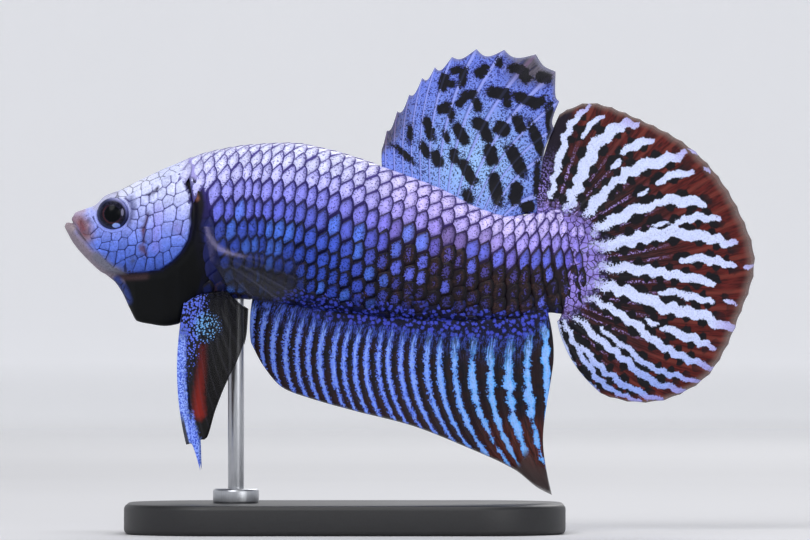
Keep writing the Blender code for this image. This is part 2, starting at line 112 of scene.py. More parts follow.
def insideGap(outline, x, z):
    # distance to a closed outline, positive inside it
    loop = list(outline) + [outline[0]]
    inside = np.zeros(np.shape(x), bool)
    for (ax, az), (bx, bz) in zip(loop, loop[1:]):
        if az == bz:
            continue
        crosses = (az > z) != (bz > z)
        inside ^= crosses & (x < ax + (z - az) / (bz - az) * (bx - ax))
    gap, _ = pathGap(loop, x, z)
    return np.where(inside, gap, -gap)


# ---- colours

def linear(red, green, blue):
    # linear values of the usual 0 to 255 ones
    values = np.array([red, green, blue]) / 255.0
    return np.where(values < 0.04045, values / 12.92, ((values + 0.055) / 1.055) ** 2.4)


def colour(red, green, blue):
    return tuple(linear(red, green, blue)) + (1.0,)


def blend(first, second, share):
    return first + (second - first) * np.asarray(share)[..., None]


def colourAlong(stops, place):
    # colour at a place between (place, (red, green, blue)) stops
    where = [stop[0] for stop in stops]
    tints = np.array([linear(*stop[1]) for stop in stops])
    return np.stack([np.interp(place, where, tints[:, i]) for i in range(3)], axis=-1)


# ---- the fish's body, as in the solids

body = {
    "backLine": [(-27.95, 30.9), (-27.4, 31.1), (-27.2, 31.5), (-27.0, 32.0), (-26.3, 32.3), (-24.7, 32.9),
                 (-23.9, 33.7), (-22.3, 34.4), (-19.9, 35.6), (-16.7, 37.0), (-13.5, 38.1), (-9.5, 38.8),
                 (-5.5, 39.0), (-1.5, 38.3), (3.3, 36.8), (9.5, 34.5), (13.5, 32.5), (16.5, 31.7),
                 (19.5, 32.1), (21.0, 32.4), (24.0, 32.0)],
    "bellyLine": [(-27.95, 30.4), (-27.1, 28.9), (-25.5, 27.1), (-23.9, 25.7), (-23.1, 25.2), (-22.3, 24.1),
                  (-21.5, 22.4), (-20.8, 21.2), (-19.5, 20.9), (-18.0, 20.7), (-16.7, 20.9), (-15.9, 21.7),
                  (-14.7, 22.9), (-13.0, 23.4), (-9.5, 23.35), (-4.5, 22.6), (0.5, 21.9), (5.5, 21.4),
                  (10.5, 21.15), (15.5, 21.2), (18.5, 21.6), (20.7, 22.0), (24.0, 21.8)],
    "halfWidth": [(-27.95, 0.75), (-27.0, 1.55), (-25.5, 2.25), (-23.2, 3.0), (-20.5, 3.85), (-17.5, 4.5),
                  (-14.5, 4.75), (-9.5, 4.7), (-4.5, 4.45), (0.5, 4.0), (5.5, 3.45), (10.5, 2.8),
                  (15.5, 2.05), (19.5, 1.35), (24.0, 0.65)],
    "keel": [(-27.95, 0.0), (-24.0, 0.2), (-20.5, 0.6), (-17.5, 0.55), (-13.5, 0.25), (0.0, 0.3),
             (24.0, 0.3)],
    "widestAt": 1.15,
    "fullness": [(-27.95, 0.85), (-25.0, 0.78), (-20.0, 0.76), (-14.5, 0.84), (0.0, 0.9), (24.0, 0.95)],
    "nose": (-28.05, 30.65),
    "tailEnd": (21.2, 26.9),       # centre of the oval end of the tail
    "tailEndHalf": (1.6, 5.6),
    "tailThins": 4.0,              # length over which the tail thins to the fin
    "finFoot": 0.3,                # half thickness of the tail fin's foot
}


def tailEdge(z):
    # how far back the fleshy tail reaches at a height
    across = (z - body["tailEnd"][1]) / body["tailEndHalf"][1]
    return body["tailEnd"][0] + body["tailEndHalf"][0] * np.sqrt(np.clip(1 - across**2, 0.0, 1.0))


def bodyPoint(x, angle):
    # point of the solids' surface at x; angle runs from 0 on the back to pi on the belly
    high, low = curveAt(body["backLine"], x), curveAt(body["bellyLine"], x)
    depth = ((1 - np.cos(angle)) / 2) ** body["widestAt"]
    z = high + (low - high) * depth
    drawIn = 1 - curveAt(body["keel"], x) * smoothStep(0.35, 1.0, depth)
    side = np.sign(np.sin(angle)) * np.abs(np.sin(angle)) ** curveAt(body["fullness"], x)
    width = curveAt(body["halfWidth"], x) * drawIn
    edge = tailEdge(z)
    thin = smoothStep(edge - body["tailThins"], edge + 0.3, x)
    width = width + (np.minimum(body["finFoot"], width) - width) * thin
    return np.stack([x + 0 * z, side * width, z], axis=-1)


angleSteps = np.linspace(0, math.pi, 241)


def flankY(x, z):
    # half width of the body at x and z
    x, z = np.broadcast_arrays(np.asarray(x, float), np.asarray(z, float))
    ring = bodyPoint(x.reshape(-1, 1), angleSteps[None, :])
    found = [np.interp(-height, -row[:, 2], row[:, 1]) for height, row in zip(z.ravel(), ring)]
    return np.array(found).reshape(x.shape)


def undersideZ(x, y):
    # height of the belly's surface at x, y to the side of the keel
    ring = bodyPoint(np.asarray(x, float).reshape(-1, 1), angleSteps[None, 120:])
    found = [np.interp(-y, -row[:, 1], row[:, 2]) for row in ring]
    return np.array(found).reshape(np.shape(x))


# ---- mesh helpers

def deselectAll():
    if bpy.context.object and bpy.context.object.mode != "OBJECT":
        bpy.ops.object.mode_set(mode="OBJECT")
    bpy.ops.object.select_all(action="DESELECT")


def newPiece(name, addMesh, **settings):
    # a primitive alone in the selection
    deselectAll()
    addMesh(**settings)
    piece = bpy.context.object
    piece.name = piece.data.name = name
    return piece


def pointsOf(mesh):
    points = np.empty(len(mesh.vertices) * 3)
    mesh.vertices.foreach_get("co", points)
    return points.reshape(-1, 3)


def movePoints(mesh, points):
    mesh.vertices.foreach_set("co", points.ravel())


def gridPiece(name, columns, rows, surface):
    # a grid laid over surface(u, v), which gives points in millimetres and the values kept on them
    piece = newPiece(name, bpy.ops.mesh.primitive_grid_add, x_subdivisions=columns, y_subdivisions=rows,
                     size=2.0, calc_uvs=True)
    flat = pointsOf(piece.data)
    order = np.lexsort((flat[:, 1].round(6), flat[:, 0].round(6)))
    shape = (len(np.unique(flat[:, 0].round(6))), len(np.unique(flat[:, 1].round(6))))
    u = (flat[order, 0].reshape(shape) + 1) / 2
    v = (flat[order, 1].reshape(shape) + 1) / 2
    points, values = surface(u, v)
    flat[order] = points.reshape(-1, 3) * mm
    movePoints(piece.data, flat)
    for key, value in values.items():
        keepValue(piece.data, key, value, order)
    mergeSeams(piece)
    return piece


def coatPiece(name, points, faces, values, patches):
    # many small shapes in one mesh, each with its own patch on the map for baking
    mesh = bpy.data.meshes.new(name)
    mesh.from_pydata((points * mm).tolist(), [], faces)
    for key, value in values.items():
        keepValue(mesh, key, value)
    corners = np.empty(len(mesh.loops), int)
    mesh.loops.foreach_get("vertex_index", corners)
    mesh.uv_layers.new(name="OFBake").data.foreach_set("uv", patches[corners].ravel())
    piece = bpy.data.objects.new(name, mesh)
    bpy.context.collection.objects.link(piece)
    mergeSeams(piece, 1e-9)
    return piece


def keepValue(mesh, key, value, order=None):
    # numbers or colours kept on the points of a mesh, for its material
    value = np.asarray(value, float)
    wide = value.shape[-1] if value.ndim > 1 and value.shape[-1] == 3 else 1
    value = value.reshape(-1, wide)
    if order is not None:
        ordered = np.empty_like(value)
        ordered[order] = value
        value = ordered
    if wide == 1:
        mesh.attributes.new(key, "FLOAT", "POINT").data.foreach_set("value", value.ravel())
    else:
        full = np.hstack([value, np.ones((len(value), 1))])
        mesh.attributes.new(key, "FLOAT_COLOR", "POINT").data.foreach_set("color", full.ravel())


def mergeSeams(piece, reach=2e-7):
    # joins the points that lie on each other, and turns the faces outwards
    deselectAll()
    piece.select_set(True)
    bpy.context.view_layer.objects.active = piece
    bpy.ops.object.mode_set(mode="EDIT")
    bpy.ops.mesh.select_all(action="SELECT")
    bpy.ops.mesh.remove_doubles(threshold=reach)
    bpy.ops.mesh.dissolve_degenerate(threshold=reach)
    bpy.ops.mesh.normals_make_consistent(inside=False)
    bpy.ops.object.mode_set(mode="OBJECT")
    bpy.ops.object.shade_smooth()


def place(piece, slot, material, nodes):
    # rides on the one body, stands for its nodes and takes its finish
    piece.data.materials.clear()
    piece.data.materials.append(material)
    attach(piece, "root")
    if nodes:
        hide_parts(*nodes)
    print(piece.name, len(piece.data.polygons), "faces")


# ---- shader helpers

class Wire:
    # a node's output in a material; sums on it add Math nodes
    def __init__(self, tree, socket=None):
        self.tree = tree
        self.socket = socket

    def node(self, kind, settings, sockets, output=0):
        made = self.tree.nodes.new("ShaderNode" + kind)
        for key, value in settings.items():
            setattr(made, key, value)
        self.fill(made, sockets)
        return Wire(self.tree, made.outputs[output])

    def fill(self, made, sockets):
        for key, value in sockets.items():
            if isinstance(value, Wire):
                self.tree.links.new(value.socket, made.inputs[key])
            else:
                made.inputs[key].default_value = value

    def math(self, operation, *values):
        return self.node("Math", {"operation": operation}, dict(enumerate(values)))

    def __add__(self, other):
        return self.math("ADD", self, other)

    def __sub__(self, other):
        return self.math("SUBTRACT", self, other)

    def __rsub__(self, other):
        return self.math("SUBTRACT", other, self)

    def __mul__(self, other):
        return self.math("MULTIPLY", self, other)

    def __truediv__(self, other):
        return self.math("DIVIDE", self, other)

    def __pow__(self, other):
        return self.math("POWER", self, other)

    def __abs__(self):
        return self.math("ABSOLUTE", self)

    __radd__ = __add__
    __rmul__ = __mul__

    def between(self, low, high):
        # 0 below low, 1 above high, smooth between; turned round when low is above high
        sockets = {"Value": self, "From Min": low, "From Max": high}
        return self.node("MapRange", {"interpolation_type": "SMOOTHSTEP"}, sockets)

    def most(self, other):
        return self.math("MAXIMUM", self, other)

    def least(self, other):
        return self.math("MINIMUM", self, other)

    def sine(self):
        return self.math("SINE", self)

    def value(self, key):
        return self.node("Attribute", {"attribute_name": key}, {}, "Fac")

    def tint(self, key):
        return self.node("Attribute", {"attribute_name": key}, {}, "Color")

    def axis(self, where, which):
        # one of the three numbers of a place
        return self.node("SeparateXYZ", {}, {0: where}, which)

    def lengthOf(self, where, shares):
        # length of a place, each of its numbers taken by its share
        part = self.node("VectorMath", {"operation": "MULTIPLY"}, {0: where, 1: shares})
        return self.node("VectorMath", {"operation": "LENGTH"}, {0: part}, "Value")

    def objectPlace(self):
        # place in millimetres
        where = self.node("TexCoord", {}, {}, "Object")
        return self.node("VectorMath", {"operation": "SCALE"}, {0: where, "Scale": 1000.0})

    def noise(self, where, size, detail=2.0, stretch=None):
        # soft noise with lumps about size millimetres across
        if stretch:
            where = self.node("VectorMath", {"operation": "MULTIPLY"}, {0: where, 1: stretch})
        return self.node("TexNoise", {}, {"Vector": where, "Scale": 1.0 / size, "Detail": detail})

    def cells(self, where, size, feature="F1"):
        # distance in random cells about size millimetres across, from their middles or their edges
        sockets = {"Vector": where, "Scale": 1.0 / size}
        return self.node("TexVoronoi", {"feature": feature}, sockets, "Distance")

    def mix(self, share, first, second):
        # blend of two colours: wires, linear colours or the usual 0 to 255 values
        pair = [colour(*tint) if isinstance(tint, tuple) and len(tint) == 3 else tint
                for tint in (first, second)]
        settings = {"data_type": "RGBA", "clamp_factor": True}
        return self.node("Mix", settings, {0: share, 6: pair[0], 7: pair[1]}, 2)

    def shade(self, base, amount):
        # a colour made darker or lighter by a number
        return self.node("VectorMath", {"operation": "SCALE"}, {0: base, "Scale": amount})

    def grainAlong(self, across, along, wide, long):
        # noise drawn out along the rays of a fin
        where = self.node("CombineXYZ", {}, {0: across * wide, 1: along * long})
        return self.node("TexNoise", {}, {"Vector": where, "Scale": 1.0, "Detail": 2.0})

    def bump(self, height, distance, strength=1.0):
        sockets = {"Height": height, "Distance": distance * mm, "Strength": strength}
        return self.node("Bump", {}, sockets)


def newMaterial(name, paint):
    # paint(start) gives the values and wires of the main shader's sockets
    material = bpy.data.materials.new(name)
    material.use_nodes = True
    start = Wire(material.node_tree)
    start.fill(material.node_tree.nodes["Principled BSDF"], paint(start))
    return material


def wetFinish(base, roughness, normal, coat, coatRoughness=0.2):
    # the soft wet gloss that skin, scales, plates and fins share
    return {"Base Color": base, "Roughness": roughness, "Normal": normal, "Coat Weight": coat,
            "Coat Roughness": coatRoughness, "Specular IOR Level": 0.15}


def blueBeads(start, where, specks):
    # small blue beads on a dark ground
    gap = start.cells(where, 0.45) + 0.7 * (specks - 0.5)
    return start.mix(gap.between(0.56, 0.3), (14, 15, 42), (64, 76, 196))


# ---- markings of head and body, shared by skin and scales

# colours from back (0) to belly (1): pale middles of the scales and the lines between them
# partly painted shade: the colours darken towards the belly partly by the fish's own colour and partly as
# shade under a light from above
flank = {
    "frontPale": [(0.0, (220, 223, 255)), (0.12, (207, 208, 255)), (0.22, (180, 178, 251)),
                  (0.3, (142, 142, 240)), (0.4, (108, 114, 226)), (0.52, (74, 98, 214)),
                  (0.66, (60, 88, 204)), (0.82, (54, 82, 196)), (1.0, (46, 66, 178))],
    "rearPale": [(0.0, (212, 202, 255)), (0.14, (202, 188, 255)), (0.25, (178, 164, 250)),
                 (0.36, (140, 128, 232)), (0.48, (106, 98, 208)), (0.66, (88, 82, 180)),
                 (0.85, (76, 76, 172)), (1.0, (62, 70, 186))],
    "frontRim": [(0.0, (92, 82, 160)), (0.15, (62, 52, 128)), (0.35, (36, 30, 92)), (0.55, (16, 18, 54)),
                 (1.0, (10, 12, 34))],
    "rearRim": [(0.0, (82, 66, 140)), (0.2, (58, 42, 106)), (0.4, (44, 32, 60)), (0.56, (32, 22, 28)),
                (0.9, (26, 20, 30)), (1.0, (14, 14, 34))],
    "turnsAt": (-2.0, 9.0),        # where the front colours give way to the rear ones
}
gillEdge = [(-16.3, 35.6), (-15.85, 34.9), (-15.5, 33.8), (-15.3, 32.3), (-15.35, 30.8), (-15.65, 29.3),
            (-16.35, 28.1), (-17.15, 27.25), (-18.4, 26.4), (-19.7, 26.15), (-22.0, 26.0), (-23.3, 26.2)]
faceShield = gillEdge + [(-31.0, 26.2), (-31.0, 42.0), (-16.4, 42.0)]
mouthLine = [(-29.0, 31.25), (-27.4, 31.15), (-26.7, 30.2), (-26.1, 29.3), (-25.3, 28.3)]
# the throat, near black; where the outline runs up behind the gill cover its black is painted shadow of the
# cover
throatShape = [(-22.6, 25.85), (-21.5, 25.75), (-19.7, 25.9), (-18.2, 26.15), (-16.9, 27.1), (-15.9, 28.2),
               (-15.3, 29.4), (-15.0, 30.8), (-14.4, 30.4), (-13.9, 28.4), (-14.0, 26.4), (-14.6, 24.4),
               (-15.4, 22.6), (-16.0, 18.0), (-22.5, 18.0), (-21.9, 22.5), (-21.4, 23.0), (-21.6, 24.4),
               (-22.0, 25.3)]
# painted shadow: a line just behind the gill cover's upper rear edge, where the cover's shadow is painted
# near black
gillShadowLine = [(-15.4, 34.9), (-15.0, 34.4), (-14.7, 33.6), (-14.6, 32.6), (-14.8, 31.6)]
eyeSizes = {"place": (-23.15, 31.9), "radius": 1.6, "bulge": 1.05, "cornea": 0.1, "sunk": 0.35,
            "yaw": 12.0, "pupil": 0.8, "iris": 1.3,
            # painted highlights, glints of light on the iris: place from the middle, half width, half
            # height, tint, share
            "glints": [((0.36, -1.16), 0.42, 0.26, (150, 176, 244), 0.95),
                       ((0.98, 0.15), 0.14, 0.4, (132, 130, 160), 0.7)]}


def filled(outline, soft, tint):
    # a patch of colour inside an outline
    def cover(x, z):
        return smoothStep(-soft, soft, insideGap(outline, x, z))
    return {"cover": cover, "tint": linear(*tint), "skinOnly": False}


def stroke(line, reach, soft, tint, share=1.0, skinOnly=False):
    # a stroke of colour along a line, as wide as its reach
    def cover(x, z):
        gap, _ = pathGap(rounded(line), x, z)
        return share * (1 - smoothStep(reach - soft, reach + soft, gap))
    return {"cover": cover, "tint": linear(*tint), "skinOnly": skinOnly}


def painted(tint, x, z, strokes):
    for mark in strokes:
        tint = blend(tint, mark["tint"], mark["cover"](x, z))
    return tint


# strokes laid over each other: line, reach, softness of the edge, tint and share of the colour
faceStrokes = [
    # partly painted light: the top of the head near white, its own pale colour with the top light painted in
    stroke([(-24.4, 35.0), (-21.0, 36.5)], 1.9, 1.2, (230, 233, 255)),
    stroke([(-27.6, 31.2), (-26.8, 31.4), (-26.0, 30.7), (-25.8, 29.8)], 0.75, 0.5, (140, 116, 134)),
    stroke([(-27.0, 32.1), (-26.2, 32.3)], 0.35, 0.3, (176, 160, 186)),
    stroke([(-26.4, 31.0), (-26.0, 30.0)], 0.36, 0.3, (116, 66, 76)),
    stroke([(-25.75, 31.7), (-25.45, 31.0), (-25.5, 30.0)], 0.1, 0.14, (84, 78, 116)),
    stroke([(-27.9, 30.95), (-27.1, 30.75), (-26.5, 29.95), (-25.9, 29.3)], 0.07, 0.08, (70, 52, 60)),
    stroke([(-28.2, 30.4), (-27.4, 29.6), (-25.6, 27.6), (-23.9, 26.2), (-22.9, 25.5)], 0.85, 0.55,
           (136, 124, 138)),
    stroke([(-27.9, 30.7), (-27.3, 30.5)], 0.45, 0.3, (152, 138, 146)),
    stroke([(-24.8, 27.6), (-23.6, 26.6), (-22.4, 26.1)], 0.45, 0.35, (112, 112, 128)),
    stroke([(-24.9, 32.7), (-24.2, 33.6), (-22.9, 34.0)], 0.35, 0.4, (176, 176, 206)),
    stroke([(-21.4, 33.4), (-21.1, 32.3), (-21.5, 31.0)], 0.3, 0.35, (92, 96, 148)),
    stroke([(-18.6, 32.4), (-18.7, 31.0), (-18.9, 29.6), (-18.8, 28.6)], 0.5, 0.45, (138, 124, 210), 0.4),
    stroke([(-16.8, 30.6), (-16.4, 30.2)], 0.4, 0.3, (156, 144, 226), 0.4),
    stroke([(-19.6, 31.9), (-19.8, 31.0), (-20.0, 30.2), (-20.0, 29.0), (-19.8, 27.8)], 0.16, 0.14,
           (72, 56, 100)),
    stroke([(-20.1, 30.4), (-20.1, 30.2)], 0.2, 0.16, (84, 54, 80)),
    stroke([(-20.3, 28.6), (-20.2, 28.3)], 0.24, 0.2, (92, 72, 108)),
    stroke([(-21.1, 27.5), (-21.0, 27.3)], 0.2, 0.2, (66, 76, 116)),
    stroke([(-19.5, 33.8), (-18.9, 34.1), (-18.6, 34.5)], 0.16, 0.14, (40, 34, 70)),
    # the throat near black, with painted shadow behind the gill cover's lower edge
    filled(throatShape, 0.12, (5, 7, 9)),
    stroke([(-22.6, 25.6), (-21.0, 25.6), (-19.8, 25.7)], 0.28, 0.25, (62, 44, 48)),
    stroke([(-22.8, 25.3), (-22.1, 24.3), (-21.7, 23.3)], 0.42, 0.25, (46, 60, 122)),
    stroke([(-23.3, 25.1), (-22.4, 23.9), (-21.6, 22.2), (-21.1, 21.3)], 0.14, 0.12, (140, 146, 160)),
    stroke([(-15.3, 37.3), (-15.1, 36.2), (-15.0, 35.6)], 0.4, 0.2, (158, 152, 216), skinOnly=True),
    # painted shadow of the gill cover, near black behind its upper edge, on the skin only
    stroke(gillShadowLine, 0.62, 0.2, (12, 9, 18), skinOnly=True),
    stroke([(-14.9, 33.8), (-14.7, 33.4)], 0.2, 0.18, (132, 84, 70)),
    # painted shadow behind the gill cover's lower rear edge: a dark blue fringe, then near black next to the
    # edge
    stroke([(-13.9, 30.4), (-13.2, 27.4), (-12.5, 25.4), (-12.1, 24.2)], 0.7, 0.5, (26, 32, 88)),
    stroke([(-14.9, 31.6), (-14.6, 29.4), (-14.0, 27.0), (-13.5, 24.8)], 0.5, 0.4, (9, 10, 22)),
]


plateShape = {
    "region": [(-25.1, 32.4), (-25.5, 31.2), (-25.45, 29.6), (-24.9, 28.4), (-24.0, 27.35), (-23.2, 26.6),
               (-22.4, 26.1), (-14.0, 24.0), (-13.0, 38.0), (-19.0, 38.0), (-21.3, 35.6), (-22.0, 34.4),
               (-23.2, 33.6)],
    "lid": 1.86, "margin": 0.03, "underBack": 1.0,
    # middles of the plates: nape, gill cover from top to bottom, then the cheek
    "places": [(-16.85, 35.6), (-17.75, 35.2), (-18.7, 34.75), (-19.75, 34.3), (-20.8, 33.85),
               (-16.35, 34.5), (-17.3, 34.25), (-18.2, 33.85), (-19.05, 33.5), (-19.95, 33.2),
               (-20.75, 32.95), (-16.3, 33.45), (-17.7, 33.3), (-18.6, 32.7), (-19.4, 32.4), (-20.2, 32.2),
               (-16.05, 32.1), (-17.45, 31.85), (-18.65, 31.4), (-19.35, 31.05), (-20.1, 31.15),
               (-15.85, 30.4), (-16.6, 30.4), (-17.7, 30.3), (-18.8, 29.95), (-19.55, 29.7), (-20.35, 29.8),
               (-16.75, 29.2), (-17.85, 28.8), (-19.1, 28.25), (-20.3, 28.4), (-16.95, 28.15), (-17.7, 27.6),
               (-18.45, 27.3), (-19.35, 26.95), (-20.25, 26.9), (-20.95, 31.75), (-21.2, 30.95),
               (-21.75, 30.1), (-21.15, 29.35), (-22.1, 28.95), (-22.75, 29.75), (-23.0, 28.75),
               (-22.35, 27.7), (-21.4, 28.15), (-21.35, 27.2), (-22.2, 26.75), (-23.2, 27.6), (-23.8, 29.5),
               (-24.65, 29.95), (-24.75, 29.1), (-23.9, 28.65), (-24.15, 28.0), (-25.05, 30.7)],
    "grain": (0.46, 0.89), "longer": 0.5,          # the plates are longer along their grain
    "gap": 0.07, "spread": 1.4, "cut": 0.13,       # cracks, widest reach and cut corners of a plate
    # rings of a plate: share of its outline, height over the skin and value kept as its edge
    "rings": [(1.0, -0.12, 1.0), (1.0, 0.014, 1.0), (0.9, 0.0525, 0.8), (0.5, 0.07, 0.3)],
    "top": 0.0735,
    # colour of the cracks between plates, darker lower down: partly the plates' dark rims, partly painted
    # shade in the cracks
    "cracks": [(26.0, (14, 20, 60)), (28.5, (24, 30, 84)), (31.0, (40, 38, 98)), (34.0, (58, 50, 118)),
               (36.5, (90, 82, 152))],
}


def plateGap(x, z):
    # positive where the head is covered with plates
    shield, region = insideGap(faceShield, x, z), insideGap(plateShape["region"], x, z)
    gap = np.minimum(shield - plateShape["margin"], region)
    gap = np.minimum(gap, curveAt(body["backLine"], x) - z - plateShape["underBack"])
    return np.minimum(gap, gapTo(eyeSizes["place"], x, z) - plateShape["lid"])


def depthAt(x, z):
    # 0 on the back line and 1 on the belly line
    high, low = curveAt(body["backLine"], x), curveAt(body["bellyLine"], x)
    return np.clip((high - z) / (high - low), 0.0, 1.0)


def flankTint(which, x, z):
    turn = smoothStep(*flank["turnsAt"], x)
    depth = depthAt(x, z)
    return blend(colourAlong(flank["front" + which], depth), colourAlong(flank["rear" + which], depth), turn)


def faceTint(z):
    # partly painted light: the face grows paler upwards partly by its own colour and partly as if lit from
    # above
    heights = [(25.6, (54, 78, 168)), (27.2, (76, 106, 208)), (29.0, (104, 130, 228)),
               (30.6, (142, 156, 240)), (32.2, (178, 186, 250)), (33.8, (206, 212, 255)),
               (37.0, (210, 216, 255))]
    return colourAlong(heights, z)


# ---- skin

skinSizes = {
    "columns": 320, "rows": 240,
    "stations": [(0.0, -27.95), (0.03, -27.75), (0.12, -26.2), (0.48, -13.6), (1.0, 22.8)],
    "inset": 0.1,                  # the scales' depth
    "gillRise": 0.14, "gillSlot": 0.34,
    "mouthDepth": 0.24, "lipRise": 0.1, "lipAt": 0.36,
    "socketDepth": 0.6, "socket": (1.66, 1.42),    # radii where the socket starts and is deepest
    "lidRise": 0.11, "lidAt": 1.78,
    "nostril": (-25.35, 32.15), "nostrilAt": 0.22, "nostrilRise": 0.07, "nostrilDepth": 0.16,
    "foldDepth": 0.07, "shoulderHigh": 0.12,
    "straightTo": 13.0,            # behind this the grid's rings lean with the tail's round end
    "cheekFold": [(-19.8, 31.8), (-20.15, 30.2), (-20.25, 28.8), (-19.8, 27.2)],
    "shoulderRise": [(-13.6, 30.2), (-12.9, 27.6)],
    # lines where the skin shows small scales of its own
    "throatStrip": [(-22.9, 25.4), (-21.9, 23.4)],
    "shoulderStrip": [(-14.0, 30.6), (-13.3, 27.6), (-12.8, 24.4)],
}


def headRelief(x, z):
    # height of the head's features over the plain form
    shield = insideGap(faceShield, x, z)
    fade = smoothStep(-24.6, -23.2, x) * smoothStep(36.6, 35.6, z)
    relief = skinSizes["gillRise"] * smoothStep(-0.04, 0.1, shield) * fade * smoothStep(2.6, 0.8, shield)
    slot = bell(shield + 0.3, 0.34) * smoothStep(0.06, -0.06, shield)
    relief = relief - skinSizes["gillSlot"] * slot * fade
    gap, _ = pathGap(rounded(mouthLine), x, z)
    lips = bell(gap - skinSizes["lipAt"], 0.22) * smoothStep(-25.6, -26.4, x)
    relief = relief + skinSizes["lipRise"] * lips
    relief = relief - skinSizes["mouthDepth"] * bell(gap, 0.11)
    gap, _ = pathGap(rounded(skinSizes["cheekFold"]), x, z)
    relief = relief - skinSizes["foldDepth"] * bell(gap, 0.14)
    eye = gapTo(eyeSizes["place"], x, z)
    relief = relief + skinSizes["lidRise"] * bell(eye - skinSizes["lidAt"], 0.2)
    relief = relief - skinSizes["socketDepth"] * smoothStep(*skinSizes["socket"], eye)
    nostril = gapTo(skinSizes["nostril"], x, z)
    relief = relief + skinSizes["nostrilRise"] * bell(nostril - skinSizes["nostrilAt"], 0.09)
    relief = relief - skinSizes["nostrilDepth"] * bell(nostril, 0.12)
    shoulder, _ = pathGap(skinSizes["shoulderRise"], x, z)
    return relief + skinSizes["shoulderHigh"] * bell(shoulder, 0.7)


def skinPlace(u, v):
    # u runs from the nose to the tail and v round the body from the back
    x = curveAt(skinSizes["stations"], u)
    angle = 2 * math.pi * v
    points = bodyPoint(x, angle)
    last = skinSizes["stations"][-1][1]
    x = x + smoothStep(skinSizes["straightTo"], last, x) * (tailEdge(points[..., 2]) - last)
    points = bodyPoint(x, angle)
    points[..., 1] *= smoothStep(1.0, 0.985, u)
    along, around = np.gradient(points, axis=0), np.gradient(points, axis=1)
    normal = np.cross(around, along)
    normal /= np.maximum(np.linalg.norm(normal, axis=-1, keepdims=True), 1e-9)
    ring = 20                      # one ring tells which way the normals point
    normal *= np.sign(np.sum(normal[ring, ring] * (points[ring, ring] - points[ring].mean(axis=0))))
    x, z = points[..., 0], points[..., 2]
    onTrunk = np.where(insideGap(faceShield, x, z) > 0, 0.0, 1.0) * smoothStep(-14.6, -13.6, x)
    lift = headRelief(x, z) - skinSizes["inset"] * onTrunk
    lift = lift * smoothStep(1.0, 0.95, u) * smoothStep(0.0, 0.02, u)
    points = points + normal * lift[..., None]
    nose = np.array([body["nose"][0], 0.0, body["nose"][1]])
    points = blend(nose + 0 * points, points, smoothStep(-0.02, 0.02, u) * (u > 0))
    points[-1, :, 1] = 0.0
    x, z = points[..., 0], points[..., 2]
    onFace = smoothStep(-0.05, 0.05, insideGap(faceShield, x, z))
    tint = painted(blend(flankTint("Rim", x, z), faceTint(z), onFace), x, z, faceStrokes)
    # under the plates the skin takes the cracks' colour: partly dark rims, partly painted shade
    tint = blend(tint, colourAlong(plateShape["cracks"], z), 0.9 * smoothStep(0.0, 0.08, plateGap(x, z)))
    crown = onFace * smoothStep(-24.2, -23.2, x) * smoothStep(1.7, 0.9, curveAt(body["backLine"], x) - z)
    strip, _ = pathGap(skinSizes["throatStrip"], x, z)
    shoulder, _ = pathGap(skinSizes["shoulderStrip"], x, z)
    crown = np.maximum(crown, np.maximum(smoothStep(0.7, 0.4, strip), smoothStep(1.1, 0.6, shoulder)))
    return points, {"tint": tint, "face": onFace, "crown": crown}


def skinPaint(start):
    where = start.objectPlace()
    grain, specks = start.noise(where, 0.3, 3.0), start.noise(where, 0.14, 1.0)
    tint = start.tint("tint")
    base = start.mix(specks.between(0.58, 0.66) * 0.5, start.shade(tint, 0.82 + 0.36 * grain),
                     start.shade(tint, 0.35))
    seams = start.cells(where, 1.15, "DISTANCE_TO_EDGE") + 0.1 * (specks - 0.5)
    seams = seams.between(0.075, 0.02) * start.value("crown")
    base = start.mix(seams * 0.85, base, start.shade(tint, 0.22))
    normal = start.bump(grain * 0.5 + specks * 0.3 - seams, 0.05, 0.5)
    return wetFinish(base, 0.36 + 0.2 * grain, normal, 0.12 * start.value("face"))


skin = gridPiece("skin", skinSizes["columns"], skinSizes["rows"], skinPlace)
place(skin, "trunk", newMaterial("wetSkin", skinPaint),
      ["head", "upper_jaw", "lower_jaw", "throat", "gill_cover_left", "gill_cover_right", "trunk_front",
       "trunk_rear", "tail"])


# ---- scales

